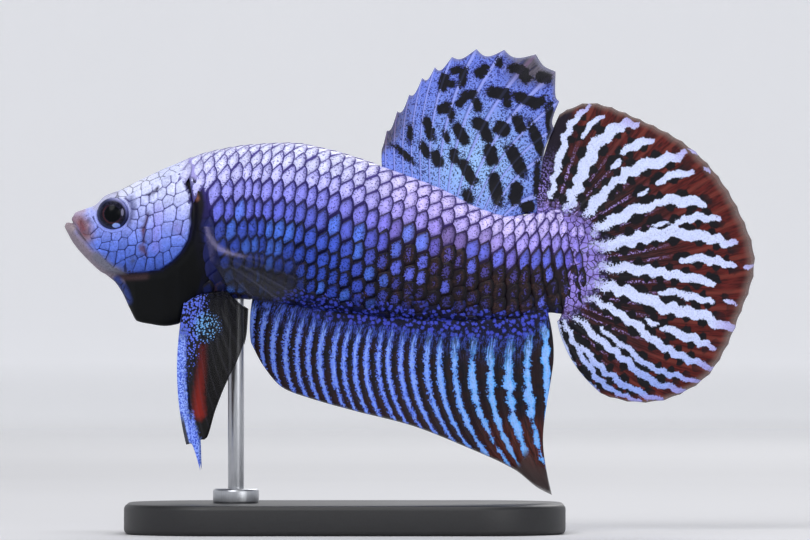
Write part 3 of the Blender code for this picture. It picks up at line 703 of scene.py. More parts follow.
scaleSizes = {
    "rows": [(-20.0, 12.7), (-10.0, 12.4), (-2.0, 11.9), (4.6, 10.8), (10.0, 9.5), (15.6, 8.2), (20.0, 7.8),
             (26.0, 7.4)],         # rows on each side, from the back to the belly
    # share of the flank that is above a share of the rows: the rows are tallest in the middle
    "heights": [(0.0, 0.0), (0.083, 0.079), (0.167, 0.158), (0.25, 0.237), (0.333, 0.321), (0.417, 0.42),
                (0.5, 0.524), (0.583, 0.622), (0.667, 0.712), (0.75, 0.796), (0.833, 0.872), (1.0, 1.0)],
    "spacing": [(-27.0, 1.1), (-15.0, 1.26), (-9.5, 1.18), (-5.0, 1.18), (4.5, 1.26), (9.5, 1.26),
                (14.5, 1.14), (18.5, 1.06), (21.0, 0.95), (25.0, 0.8)],
    "slip": [(-20.0, 0.3), (-12.0, 0.25), (-8.0, 0.05), (0.0, -0.04), (12.0, -0.04), (17.0, 0.12),
             (21.0, 0.3)],
    "front": -0.95, "rear": 0.53, "bulge": 0.25,  # reach of a scale before and behind its place, in spacings
    "half": 0.6,                   # half width of a scale, in rows
    "lean": [(0.0, 0.8), (0.1, 0.76), (0.25, 0.66), (0.4, 0.56), (1.0, 0.5)],  # rows climbed in one spacing
    "from": -27.0, "to": 25.5, "mostRows": 15,
    "ridgeHalf": 0.42, "finFoot": (2.8, 20.0),     # scales on the ridge, which stop at the dorsal fin
    "bury": 0.1, "rise": 0.09, "dome": 0.06, "thick": 0.05,
    "patch": 0.02,                 # size of a scale's patch on the map for baking
    "mapFrom": -23.0, "mapLong": 49.0,             # part of the body that the map shows
    "darkFrom": [(-13.0, 0.86), (-6.0, 0.76), (0.0, 0.64), (6.0, 0.52), (13.0, 0.46), (21.0, 0.5),
                 (25.0, 0.6)],
}
# single blue scales on the dark part of the flank, by their middles
blueScales = [(11.7, 28.1), (13.3, 28.3), (14.4, 28.1), (15.6, 27.9), (18.3, 27.9), (19.4, 28.0),
              (20.7, 28.1), (14.8, 26.3), (16.2, 26.2), (20.3, 26.2), (21.4, 26.9), (5.4, 26.3), (6.8, 26.3),
              (8.0, 27.6), (9.6, 27.3), (10.7, 27.0), (13.3, 26.5), (7.6, 25.2), (9.8, 24.8), (19.3, 23.4),
              (20.0, 23.6)]
flankPatches = [
    stroke([(5.4, 30.8), (6.6, 29.8)], 0.9, 0.9, (112, 92, 156), 0.5),
    stroke([(10.2, 30.2), (11.6, 29.0)], 0.9, 0.9, (98, 70, 104), 0.6),
    stroke([(13.6, 29.6), (14.8, 29.0)], 0.7, 0.7, (104, 80, 130), 0.5),
    stroke([(-12.6, 25.2), (-9.5, 24.6), (-6.0, 24.6)], 1.5, 0.9, (18, 22, 50), 0.85),
    stroke([(-13.4, 31.2), (-12.9, 29.6)], 0.7, 0.6, (58, 60, 140), 0.5),
]


def shieldShape():
    # one scale on a unit place: a grid rounded at the rear, domed, then given its thickness
    piece = newPiece("shield", bpy.ops.mesh.primitive_grid_add, x_subdivisions=4, y_subdivisions=6, size=2.0)
    a, b, _ = pointsOf(piece.data).T
    rear = scaleSizes["rear"] - scaleSizes["bulge"] * b**2
    along = scaleSizes["front"] + (rear - scaleSizes["front"]) * (a + 1) / 2
    across = scaleSizes["half"] * b - along
    lift = -scaleSizes["bury"] + (scaleSizes["bury"] + scaleSizes["rise"]) * ((a + 1) / 2)
    lift = lift + scaleSizes["dome"] * (1 - b**2)
    movePoints(piece.data, np.stack([along, across, lift], axis=-1))
    wall = piece.modifiers.new("wall", "SOLIDIFY")
    wall.thickness, wall.offset = scaleSizes["thick"], -1.0
    bpy.ops.object.modifier_apply(modifier="wall")
    made = pointsOf(piece.data)
    faces = [tuple(face.vertices) for face in piece.data.polygons]
    bpy.data.objects.remove(piece)
    return made, faces


def girthTable():
    # angle at each share of the way from back to belly, at stations along the body
    stations = np.linspace(-28.0, 26.0, 109)
    ring = bodyPoint(stations[:, None], angleSteps[None, :])
    steps = np.linalg.norm(np.diff(ring, axis=1), axis=-1)
    run = np.concatenate([np.zeros((len(stations), 1)), np.cumsum(steps, axis=1)], axis=1)
    shares = np.linspace(0, 1, 121)
    angles = np.array([np.interp(shares * row[-1], row, angleSteps) for row in run])
    return stations, shares, angles, run[:, -1]


girth = girthTable()


def onFlank(x, share, side):
    # point of the surface at x and a share of the way from back to belly
    stations, shares, angles, _ = girth
    i = np.clip((x - stations[0]) / (stations[1] - stations[0]), 0, len(stations) - 1.001)
    j = np.clip(np.abs(share) / (shares[1] - shares[0]), 0, len(shares) - 1.001)
    a, b = i.astype(int), j.astype(int)
    fa, fb = i - a, j - b
    angle = ((angles[a, b] * (1 - fb) + angles[a, b + 1] * fb) * (1 - fa)
             + (angles[a + 1, b] * (1 - fb) + angles[a + 1, b + 1] * fb) * fa)
    point = bodyPoint(x, angle)
    point[..., 1] *= np.where(share < 0, -side, side)
    return point


def rowShare(row, x):
    # share of the flank from back to belly at a row, negative beyond the ridge
    return np.sign(row) * curveAt(scaleSizes["heights"], np.abs(row) / curveAt(scaleSizes["rows"], x))


def wobble(x, row):
    # slight unevenness of the columns and rows, in millimetres and in rows
    return (0.09 * np.sin(0.9 * x + 1.3 * row) + 0.07 * np.sin(2.1 * x - 1.7 * row),
            0.04 * np.sin(0.7 * x + 1.1 * row + 2.0) + 0.04 * np.sin(2.3 * x - 0.9 * row))


def scalePlaces():
    # one side's scales: x, row, spacing and the shift from row to row
    places = []
    x = scaleSizes["from"]
    while x < scaleSizes["to"]:
        spacing = float(curveAt(scaleSizes["spacing"], x))
        slip = float(curveAt(scaleSizes["slip"], x))
        if not scaleSizes["finFoot"][0] < x < scaleSizes["finFoot"][1]:
            places.append((x + 0.5 * spacing, 0.0, spacing, 0.0))
        for row in range(scaleSizes["mostRows"]):
            here = x + slip * row
            if row + 0.5 < float(curveAt(scaleSizes["rows"], here)):
                places.append((here, row + 0.5, spacing, slip))
        x += spacing
    return places


def scaleWanted(x, z, share):
    # scales start behind the gill cover and over the nape, and end on the tail fin's foot
    shield = float(insideGap(faceShield, np.array(x), np.array(z)))
    nape = 0.3 * float(smoothStep(34.6, 35.6, z))
    # no scales on the painted shadow behind the gill cover, so that the skin's black shows
    shadowGap, _ = pathGap(gillShadowLine, np.array(x), np.array(z))
    if shield > nape - 0.1 or shadowGap < 1.0 or (x < -13.7 and z < 31.4):
        return False
    return x < float(tailEdge(np.array(z))) + 1.3 and share < 1.0


def placedScale(shield, x, row, spacing, slip, side):
    # points of one scale laid on the body; the scales on the ridge are row 0
    along, across, lift = shield.T
    share = float(rowShare(row, x))
    onRidge = row == 0.0
    ahead, down = wobble(x, row)
    xs = x + ahead + along * spacing + across * slip
    if onRidge:
        turned = (along + across) * scaleSizes["ridgeHalf"] / scaleSizes["half"]
    else:
        lean = float(curveAt(scaleSizes["lean"], share))
        turned = np.maximum(row + down + across + (1 - lean) * along, 0.0)
    shares = rowShare(turned, xs)
    alongStep = onFlank(xs + 0.05, shares, side) - onFlank(xs - 0.05, shares, side)
    acrossStep = onFlank(xs, shares + 0.004, side) - onFlank(xs, shares - 0.004, side)
    normal = np.cross(alongStep, acrossStep) * side
    normal /= np.linalg.norm(normal, axis=-1, keepdims=True)
    flat = 0.2 + 0.8 * smoothStep(0.02, 0.16, share) + 0.25 * onRidge
    return onFlank(xs, shares, side) + normal * (lift * flat - 0.02 + 0.03 * onRidge)[:, None]


def scaleColours(x, z, tone):
    # pale middle, dark rim, how far the middle reaches and how beaded a scale at x and z is
    depth = float(depthAt(x, z))
    here = np.array([x]), np.array([z])
    strokes = [mark for mark in faceStrokes if not mark["skinOnly"]]
    pale = painted(flankTint("Pale", *here), *here, strokes + flankPatches)[0]
    rim = painted(flankTint("Rim", *here), *here, strokes)[0]
    darkFrom = float(curveAt(scaleSizes["darkFrom"], x))
    dark = float(smoothStep(darkFrom - 0.07, darkFrom + 0.05, depth))
    brown = float(smoothStep(1.0, 8.0, x))
    wide = 1.6 - 0.48 * float(smoothStep(0.14, 0.42, depth))
    lit = min(math.hypot(x - bx, (z - bz) * 0.8) for bx, bz in blueScales) < 0.6
    reach = 0.8 if lit else 0.06 + 0.5 * tone + 0.25 * (1 - brown)
    wide = wide + (reach - wide) * dark * (0.55 + 0.45 * brown)
    if lit:
        pale = blend(pale, linear(98, 110, 224), 0.8)
    else:
        pale = blend(pale, rim, 0.55 * dark * brown)
        if tone > 0.8 and depth > 0.4:
            pale = blend(pale, linear(84, 134, 240), 0.5 * (1 - dark * brown))
    bead = float(smoothStep(0.86, 0.94, depth) * smoothStep(-9.0, -6.0, x) * smoothStep(21.0, 19.0, x))
    rim = blend(rim, pale, 0.4 * float(smoothStep(-13.0, -16.0, x) * smoothStep(34.5, 36.0, z)))
    return {"pale": pale, "rim": rim, "open": wide, "bead": bead}


def scalePaint(start):
    where = start.objectPlace()
    along, across, tone = [start.value(key) for key in ("along", "across", "tone")]
    lean = across + along
    grain, specks = start.noise(where, 0.3, 3.0), start.noise(where, 0.17, 2.0)
    patchy = start.noise(where, 1.1, 2.0)
    rim, pale, wide = start.tint("rim"), start.tint("pale"), start.value("open")
    rearGap = scaleSizes["rear"] - along - lean * lean * (scaleSizes["bulge"] / scaleSizes["half"] ** 2)
    sideGap = (0.5 - abs(lean)) * 1.6
    edge = (rearGap * 0.8).least(sideGap) + 0.08 * (grain - 0.5)
    deeper = wide.between(1.6, 1.1)
    line = 0.07 + 0.05 * deeper
    oval = ((along + 0.1) * (along + 0.1) * 1.25 + lean * lean * 0.72) ** 0.5 * 2.0
    narrow = wide.between(1.1, 0.3)
    stipple = (specks - 0.5) * (0.4 + narrow * 2.6) + (patchy - 0.5) * narrow * 1.4
    middle = (oval + stipple - wide).between(0.07, -0.07) * (edge - line).between(-0.03, 0.05)
    # painted shade and light: each scale darker towards its edges and lighter in its middle, as if lit on a
    # dome; the grain and tone in it are its own
    lit = start.mix(edge.between(0.48, 0.05) * (0.4 + 0.3 * deeper), pale, rim)
    lit = start.shade(lit, (0.6 + 0.72 * grain) * (0.86 + 0.26 * tone) + 0.14 * oval.between(0.9, 0.1))
    warm = start.mix(patchy.between(0.46, 0.6) * narrow.between(0.1, 0.5) * 0.8, rim, (64, 44, 42))
    warm = start.mix(rearGap.between(0.34, 0.12) * narrow.between(0.1, 0.5), warm, (10, 9, 16))
    base = start.mix(middle, warm, lit)
    dots = (specks + 0.1 * narrow + 0.05 * edge.between(0.34, 0.08)).between(0.57, 0.63) * 0.75
    base = start.mix(dots, base, start.shade(rim, 0.8))
    base = start.mix(start.value("bead") * 0.9, base, blueBeads(start, where, specks))
    normal = start.bump(grain * 0.4 + edge.between(0.0, 0.3) * 0.2, 0.05, 0.5)
    return wetFinish(base, 0.34 + 0.2 * grain, normal, 0.07)


def makeScales():
    shield, faces = shieldShape()
    count = len(shield)
    points, maps, allFaces, values = [], [], [], {}
    for side in (-1.0, 1.0):
        for x, row, spacing, slip in scalePlaces():
            onRidge = row == 0.0
            if onRidge and side > 0:
                continue
            share = float(rowShare(row, x))
            centre = onFlank(np.array([x]), np.array([share]), side)[0]
            cx, cz = float(centre[0]), float(centre[2])
            if not scaleWanted(cx, cz, share):
                continue
            tone = random.random()
            jitter = 1 + 0.1 * (random.random() - 0.5)
            first = len(points) * count
            points.append(placedScale(shield, x, row, spacing * jitter, slip, side))
            allFaces += [tuple(first + i for i in (face if side < 0 else face[::-1])) for face in faces]
            for key, value in {"tone": tone, **scaleColours(cx, cz, tone)}.items():
                values.setdefault(key, []).append(np.tile(value, (count, 1)))
            # the map is an unwrap of the body: its length along, and its girth across from the ridge
            along = 0.02 + 0.96 * (x - scaleSizes["mapFrom"]) / scaleSizes["mapLong"]
            middle = np.array([along, 0.5 if onRidge else 0.5 + side * (0.015 + 0.47 * share)])
            maps.append(middle + shield[:, :2] * scaleSizes["patch"] * 0.5)
    values = {key: np.vstack(rows) for key, rows in values.items()}
    values["along"], values["across"] = np.tile(shield[:, :2], (len(points), 1)).T
    scales = coatPiece("scales", np.vstack(points), allFaces, values, np.vstack(maps))
    place(scales, "trunk", newMaterial("fishScale", scalePaint), [])


makeScales()


# ---- plates of the head

def mirrored(seeds):
    # the seeds near the region's edge, reflected in it, so that their plates end there
    x, z = seeds.T
    gap, step = plateGap(x, z), 0.02
    slope = np.stack([plateGap(x + step, z) - gap, plateGap(x, z + step) - gap], axis=-1)
    slope /= np.maximum(np.linalg.norm(slope, axis=-1, keepdims=True), 1e-9)
    near = gap < 1.0
    return (seeds - 2 * gap[:, None] * slope)[near]


def clipped(outline, middle, normal):
    # the part of an outline behind a line through middle
    kept = []
    heights = [(px - middle[0]) * normal[0] + (pz - middle[1]) * normal[1] for px, pz in outline]
    for i, (px, pz) in enumerate(outline):
        (qx, qz), h, k = outline[i - 1], heights[i], heights[i - 1]
        if (h <= 0) != (k <= 0):
            cut = k / (k - h)
            kept.append((qx + cut * (px - qx), qz + cut * (pz - qz)))
        if h <= 0:
            kept.append((px, pz))
    return kept


def plateOutline(seed, others, borders):
    # a plate's outline: a square cut halfway to each neighbour, less its corners
    far, grain = plateShape["spread"], np.array(plateShape["grain"])
    outline = [(seed[0] + a * far, seed[1] + b * far) for a, b in ((-1, -1), (1, -1), (1, 1), (-1, 1))]
    for i, other in enumerate(np.vstack([others, borders])):
        away = other - seed
        length = float(np.hypot(*away))
        if 1e-6 < length < 2 * far:
            across = away - plateShape["longer"] * np.dot(away, grain) * grain if i < len(others) else away
            normal = across / np.hypot(*across)
            uneven = 0.7 + 0.5 * math.sin(9.0 * (seed[0] + other[0]) + 7.0 * (seed[1] + other[1]))
            outline = clipped(outline, seed + away / 2 - normal * plateShape["gap"] * uneven / 2, normal)
    slope = float(curveAt(body["backLine"], seed[0] + 0.5) - curveAt(body["backLine"], seed[0] - 0.5))
    under = np.array([seed[0], float(curveAt(body["backLine"], seed[0])) - plateShape["underBack"] + 0.3])
    outline = clipped(outline, under, np.array([-slope, 1.0]))
    corners = np.array(outline)
    step = plateShape["cut"] * (np.roll(corners, -1, axis=0) - corners)
    return np.stack([corners + step, np.roll(corners, -1, axis=0) - step], axis=1).reshape(-1, 2)


def onHead(x, z, lift, side):
    # point of the head's surface at x, z, lifted along its normal
    step = 0.04
    y = flankY(x, z)
    slopeX = (flankY(x + step, z) - flankY(x - step, z)) / (2 * step)
    slopeZ = (flankY(x, z + step) - flankY(x, z - step)) / (2 * step)
    normal = np.stack([-slopeX, np.ones_like(y), -slopeZ], axis=-1)
    normal /= np.linalg.norm(normal, axis=-1, keepdims=True)
    made = np.stack([x, y, z], axis=-1) + normal * (lift + headRelief(x, z))[..., None]
    return made * np.array([1.0, side, 1.0])


def platePaint(start):
    where = start.objectPlace()
    edge, tone, tint = start.value("edge"), start.value("tone"), start.tint("tint")
    grain, specks = start.noise(where, 0.3, 3.0), start.noise(where, 0.17, 2.0)
    lit = start.shade(tint, (0.5 + 0.9 * grain) * (0.86 + 0.28 * tone))
    rim = (edge + 0.6 * (specks - 0.5)).between(0.72, 1.1)
    base = start.mix(rim * 0.65, lit, start.shade(tint, 0.4))
    dots = specks.between(0.57, 0.64) * 0.55
    base = start.mix(dots, base, start.shade(tint, 0.45))
    normal = start.bump(grain * 0.5 + specks * 0.2, 0.04, 0.5)
    return wetFinish(base, 0.34 + 0.2 * grain, normal, 0.08)


def makePlates():
    seeds = np.array(plateShape["places"])
    seeds = seeds[plateGap(*seeds.T) > 0.08]
    borders = mirrored(seeds)
    rings = len(plateShape["rings"])
    flat, lifts, edges, tones, faces, count = [], [], [], [], [], 0
    for seed in seeds:
        outline = plateOutline(seed, seeds, borders)
        if len(outline) < 6:
            continue
        size, middle, tone = len(outline), outline.mean(axis=0), random.random()
        for share, lift, edge in plateShape["rings"]:
            flat.append(middle + (outline - middle) * share)
            lifts += [lift] * size
            edges += [edge] * size
        flat.append(middle[None])
        lifts.append(plateShape["top"])
        edges.append(0.0)
        tones += [tone] * (size * rings + 1)
        for ring in range(rings - 1):
            for i in range(size):
                a, b = count + ring * size + i, count + ring * size + (i + 1) % size
                faces.append((a, b, b + size, a + size))
        last = count + (rings - 1) * size
        faces += [(last + i, last + (i + 1) % size, count + rings * size) for i in range(size)]
        faces.append(tuple(count + i for i in reversed(range(size))))
        count += size * rings + 1
    x, z = np.vstack(flat).T
    tint = painted(faceTint(z), x, z, faceStrokes)
    both = np.vstack([onHead(x, z, np.array(lifts), side) for side in (-1.0, 1.0)])
    allFaces = faces + [tuple(i + count for i in reversed(face)) for face in faces]
    values = {"tint": np.vstack([tint, tint]), "edge": np.array(edges * 2), "tone": np.array(tones * 2)}
    # on the map each side is an outline of its plates, the right side above the left
    halfMap = np.column_stack([(x + 26.2) / 12.0, (z - 25.5) / 25.0])
    plates = coatPiece("headPlates", both, allFaces, values, np.vstack([halfMap, halfMap + (0.0, 0.5)]))
    place(plates, "head", newMaterial("headPlate", platePaint), [])


makePlates()


# ---- fins

def alongRay(ray, t):
    # place (x, z) at t on a ray that bends between its root and its tip
    root, bend, tip = [np.stack(np.broadcast_arrays(*point), axis=-1) for point in ray]
    t = t[..., None]
    return root * (1 - t) ** 2 + 2 * bend * t * (1 - t) + tip * t**2


def ridge(phase, width):
    # 1 on each whole number of phase and 0 away from it
    return bell((phase + 0.5) % 1.0 - 0.5, width)


def webbed(sizes):
    # half thickness: thick at the foot, thin between the rays, which fork halfway out
    foot, web, onRay = sizes["thick"]

    def thickOf(s, t):
        single = ridge(s * sizes["rays"] + 0.5, 0.16) * smoothStep(0.75, 0.45, t)
        forked = ridge(s * sizes["rays"] * 2, 0.2) * smoothStep(0.45, 0.7, t) * 0.7
        thin = web + (foot - web) * smoothStep(0.3, 0.0, t)
        return thin + (onRay - web) * np.maximum(single, forked) * (1 - 0.6 * t)
    return thickOf


def waving(sizes):
    # sideways waves that grow towards the margin
    high, turns, start = sizes["wave"]

    def sideOf(s, t):
        return high * np.sin(turns * math.pi * s + start) * t * t
    return sideOf


def makeFin(name, node, web, sizes, rayOf, marks, colours, sideOf=None, thickOf=None):
    # a sheet folded at its margin: up one face from root to margin and down the other
    sideOf, thickOf = sideOf or waving(sizes), thickOf or webbed(sizes)

    def surface(s, v):
        t = 1 - np.abs(2 * v - 1)
        face = np.where(v < 0.5, -1.0, 1.0)
        x, z = np.moveaxis(alongRay(rayOf(s), t), -1, 0)
        # the two faces meet along the margin, the foot and both ends
        thick = thickOf(s, t) * np.minimum(1, np.minimum(t, 1 - t) * 60) ** 0.5
        thick = thick * np.minimum(1, np.minimum(s, 1 - s) * 90) ** 0.5
        points = np.stack([x, sideOf(s, t) + face * thick, z], axis=-1)
        return points, {**marks(s, t, x, z), "fromRoot": t, "acrossRays": s}
    columns, rows = sizes["grid"]
    fin = gridPiece(name, columns, 2 * rows, surface)
    slot = node.removesuffix("_left").removesuffix("_right")
    place(fin, slot, newMaterial(web, finPaint(colours, sizes["lines"])), [node])


def scallop(rays, s, depth):
    # how far the margin draws in between the rays
    return depth * np.abs(np.cos(math.pi * rays * s))


def sidedGap(path, x, z):
    # distance to a path, how far along it is nearest, and which side (1 or -1) the place is on
    gap, share = pathGap(path, x, z)
    lengths = np.hypot(*np.diff(path, axis=0).T)
    run = np.concatenate([[0.0], np.cumsum(lengths)])
    along = share * run[-1]
    leg = np.clip(np.searchsorted(run, along, side="right") - 1, 0, len(lengths) - 1)
    step = np.diff(path, axis=0)[leg]
    side = np.sign(step[..., 0] * (z - path[leg, 1]) - step[..., 1] * (x - path[leg, 0]))
    return gap, along, run[-1], side


def streakGap(streaks, x, z):
    # distance to the nearest streak's wavy edge and to the black along it, both negative inside
    gap, black = np.full(np.shape(x), 9.0), np.full(np.shape(x), 9.0)
    for i, (half, path) in enumerate(streaks):
        far, along, length, side = sidedGap(rounded(path, 5), x, z)
        # one wave in about 1.9 mm, the other way round on the streak's other side
        pace = 2 * math.pi / (1.75 + 0.09 * (i % 5))
        wave = np.sin(pace * along + i * 2.1 + 1.5 * np.sin(0.8 * along + 2.0 * i)) * side
        wave = wave * (0.75 + 0.25 * np.sin(1.3 * along + 3.0 * i))
        ends = 0.55 + 0.45 * np.sqrt(np.sin(math.pi * np.clip(along / length, 0.02, 0.98)))
        half = 0.88 * half
        edge = half * ends + (0.05 + 0.34 * half) * wave
        gap = np.minimum(gap, far - edge)
        black = np.minimum(black, far - half * ends - 0.06 - 0.5 * smoothStep(0.1, -0.6, wave))
    return gap, black


def blotchGap(blotches, x, z):
    # distance to the nearest oval's edge, negative inside
    gap = np.full(np.shape(x), 9.0)
    for cx, cz, longHalf, wideHalf, turn in blotches:
        c, s = math.cos(math.radians(turn)), math.sin(math.radians(turn))
        along = (x - cx) * c + (z - cz) * s
        across = (z - cz) * c - (x - cx) * s
        long, wide = longHalf + 0.12, wideHalf + 0.12
        stretch = (np.abs(along / long) ** 3 + np.abs(across / wide) ** 3) ** (1 / 3)
        gap = np.minimum(gap, (stretch - 1) * wide)
    return gap


caudal = {
    "grid": (240, 100), "lines": 120,              # the mesh, and the fine lines across the fin
    "thick": (0.3, 0.1, 0.2),                      # half thickness at the foot, in the web and on a ray
    "wave": (0.5, 2.6, 0.5),                       # height, half turns and start of the waves
    "heart": (20.3, 27.1), "rays": 15, "fork": 0.12,
    "reach": [(85.5, 14.95), (74.0, 16.6), (59.0, 16.95), (36.0, 18.5), (15.0, 19.8), (0.0, 20.7),
              (-17.0, 19.9), (-33.0, 19.75), (-47.0, 18.5), (-56.0, 17.0), (-68.0, 14.3)],
    "rise": 92.0, "drop": -80.0,
    # pale streaks: half width and centre line
    "streaks": [
        (0.4, [(20.6, 33.6), (21.0, 35.6), (21.7, 38.3), (22.5, 40.6), (23.6, 42.0), (24.4, 42.7)]),
        (0.3, [(23.7, 39.6), (24.7, 40.9), (25.7, 41.7)]),
        (0.72, [(22.2, 32.5), (23.0, 34.2), (23.9, 36.4), (24.8, 38.3), (26.1, 39.7), (27.4, 40.7),
                (28.8, 41.0)]),
        (0.5, [(27.8, 38.1), (29.1, 38.8), (30.5, 39.3)]),
        (0.34, [(26.7, 36.6), (27.5, 37.3)]),
        (0.62, [(24.2, 32.0), (25.2, 33.2), (26.3, 34.3)]),
        (0.66, [(26.6, 34.8), (28.5, 36.1), (30.0, 36.8), (32.0, 37.3), (33.8, 37.8)]),
        (0.42, [(31.3, 35.1), (32.8, 35.8), (34.7, 36.1)]),
        (0.22, [(29.3, 33.8), (30.3, 34.3)]),
        (0.62, [(24.8, 30.1), (26.5, 31.1), (28.5, 32.0), (30.6, 32.8)]),
        (0.6, [(31.2, 33.1), (33.0, 33.3), (35.8, 33.0)]),
        (0.28, [(31.0, 30.9), (32.2, 31.0)]),
        (0.46, [(33.2, 31.1), (35.4, 31.6), (37.3, 31.3)]),
        (0.68, [(23.4, 28.4), (26.5, 28.8), (29.5, 29.5), (32.5, 30.0), (35.5, 29.7), (38.7, 28.9)]),
        (0.46, [(33.7, 27.3), (36.0, 27.4), (38.8, 26.7)]),
        (0.28, [(40.1, 26.7), (40.7, 26.6)]),
        (0.56, [(24.5, 26.6), (27.5, 26.5), (30.5, 26.2), (33.5, 25.7), (36.7, 25.1)]),
        (0.4, [(31.6, 24.1), (33.5, 23.9), (36.7, 23.1)]),
        (0.66, [(24.3, 25.0), (26.6, 24.6), (29.5, 23.6), (32.0, 22.6), (35.5, 21.8), (38.7, 20.4)]),
        (0.3, [(30.2, 21.3), (31.1, 20.9)]),
        (0.5, [(31.9, 20.5), (34.5, 19.5), (36.8, 18.6)]),
        (0.46, [(24.3, 23.6), (26.5, 22.5), (29.0, 20.8), (31.5, 18.8), (34.5, 17.3), (36.8, 16.5)]),
        (0.32, [(25.6, 20.4), (28.0, 18.6), (31.0, 16.4), (35.5, 15.1)]),
        (0.42, [(23.1, 21.5), (25.5, 19.3), (28.0, 17.3), (30.5, 15.3), (34.0, 14.1)]),
        (0.38, [(23.8, 18.6), (25.5, 16.6), (28.5, 14.5), (31.5, 13.3)]),
        (0.3, [(21.9, 21.1), (23.3, 18.4), (25.0, 15.8), (27.0, 14.1), (29.5, 13.2)]),
        (0.2, [(21.1, 21.4), (22.1, 18.4), (23.5, 15.8), (25.5, 14.1)]),
        (0.2, [(38.0, 23.3), (39.0, 22.8)]),
        (0.2, [(34.5, 38.3), (35.2, 38.0)]),
        (0.2, [(36.0, 36.5), (36.4, 36.1)]),
    ],
}


def caudalRay(s):
    turn = math.pi * (0.5 - s)
    root = (body["tailEnd"][0] + (body["tailEndHalf"][0] - 0.7) * np.cos(turn),
            body["tailEnd"][1] + (body["tailEndHalf"][1] + 0.1) * np.sin(turn))
    first, last = caudal["reach"][0][0], caudal["reach"][-1][0]
    angle = first + (last - first) * s
    reach = curveAt([(-a, r) for a, r in caudal["reach"]], -angle)
    reach = reach - scallop(2 * caudal["rays"], s, caudal["fork"])
    tip = (caudal["heart"][0] + reach * np.cos(np.radians(angle)),
           caudal["heart"][1] + reach * np.sin(np.radians(angle)))
    outward = 1 - 2 * s
    ahead = smoothStep(0.1, 0.0, s)
    root = (root[0] - 2.0 * ahead, root[1] - 0.8 * ahead)
    start = np.where(outward > 0, caudal["rise"] * np.abs(outward) ** 1.4,
                     caudal["drop"] * np.abs(outward) ** 1.3)
    lead = 0.5 * np.hypot(tip[0] - root[0], tip[1] - root[1])
    bend = (root[0] + lead * np.cos(np.radians(start)), root[1] + lead * np.sin(np.radians(start)))
    return root, bend, tip


def caudalMarks(s, t, x, z):
    gap, black = streakGap(caudal["streaks"], x, z)
    reach = gapTo(caudal["heart"], x, z)
    return {"streak": gap, "black": black, "reach": reach, "edge": 1 - t}


def finPaint(paintColour, lines):
    # common finish of the fins: their colours, wet gloss and fine bump along the rays
    def paint(start):
        where = start.objectPlace()
        grain = start.noise(where, 0.16, 2.0)
        base, clear = paintColour(start, where, grain)
        fine = (start.value("acrossRays") * (lines * 2 * math.pi)).sine()
        normal = start.bump(grain * 0.5 + fine * 0.25, 0.04, 0.5)
        return {**wetFinish(base, 0.38 + 0.15 * grain, normal, 0.05, 0.25), "Alpha": clear}
    return paint


def caudalColours(start, where, grain):
    gap, shadow = start.value("streak"), start.value("black")
    reach, edge = start.value("reach"), start.value("edge")
    ragged, specks = start.noise(where, 0.45, 3.0), start.noise(where, 0.17, 2.0)
    broad = start.noise(where, 1.6, 2.0)
    across = start.value("acrossRays")
    strands = start.grainAlong(across, 1 - edge, 260.0, 12.0)
    frayed = 0.5 * (ragged - 0.5) + (0.45 + 2.0 * reach.between(8.5, 4.5)) * (specks - 0.5)
    pale = (gap + frayed).between(0.05, -0.05)
    black = (shadow + 0.6 * (ragged - 0.5) - 0.05 - reach.between(16.0, 9.0) * 0.14).between(0.1, -0.1)
    fine = (across * (caudal["rays"] * 4 * math.pi)).sine().between(0.3, 1.0)
    inner = (reach + 2.0 * (broad - 0.5)).between(16.0, 9.0)
    red = start.mix(strands.between(0.35, 0.65), (54, 11, 12), (92, 25, 22))
    red = start.mix(inner, red, start.mix(strands.between(0.4, 0.6), (18, 10, 16), (56, 24, 28)))
    red = start.mix(fine * 0.45, red, start.mix(inner, (128, 60, 50), (70, 40, 54)))
    beads = (specks + 0.2 * (strands - 0.5)).between(0.5, 0.58) * fine.between(0.2, 0.8)
    red = start.mix(beads * reach.between(13.0, 8.5) * 0.85, red, (176, 154, 228))
    outer = edge.between(0.16, 0.04)
    dark = start.mix(black * (1 - 0.7 * outer), red, (11, 10, 18))
    lead = start.mix(specks.between(0.5, 0.58) * reach.between(12.0, 7.0), (22, 14, 30), (140, 124, 206))
    dark = start.mix(across.between(0.05, 0.025), dark, lead)
    rim = start.mix(edge.between(0.06, 0.015) * 0.6, dark, (118, 96, 90))
    low = start.axis(where, 2).between(21.0, 14.0)
    white = start.mix(low * 0.9, (206, 216, 255), (136, 160, 234))
    white = start.mix(outer * 0.6, white, (160, 142, 212))
    white = start.shade(white, 0.35 + 1.3 * specks)
    white = start.mix(specks.between(0.58, 0.66) * 0.55, white, (70, 80, 140))
    base = start.mix(pale, rim, white)
    foot = (reach + 3.0 * (ragged - 0.5)).between(6.4, 4.4)
    seams = start.cells(where, 0.62, "DISTANCE_TO_EDGE") + 0.1 * (specks - 0.5)
    lilac = start.mix(seams.between(0.03, 0.1), (52, 34, 78), (150, 134, 224))
    lilac = start.shade(lilac, 0.6 + 0.8 * specks)
    base = start.mix(foot * 0.9, base, lilac)
    return base, 1 - edge.between(0.05, 0.0) * 0.35


makeFin("caudalFin", "caudal_fin", "caudalWeb", caudal, caudalRay, caudalMarks, caudalColours)

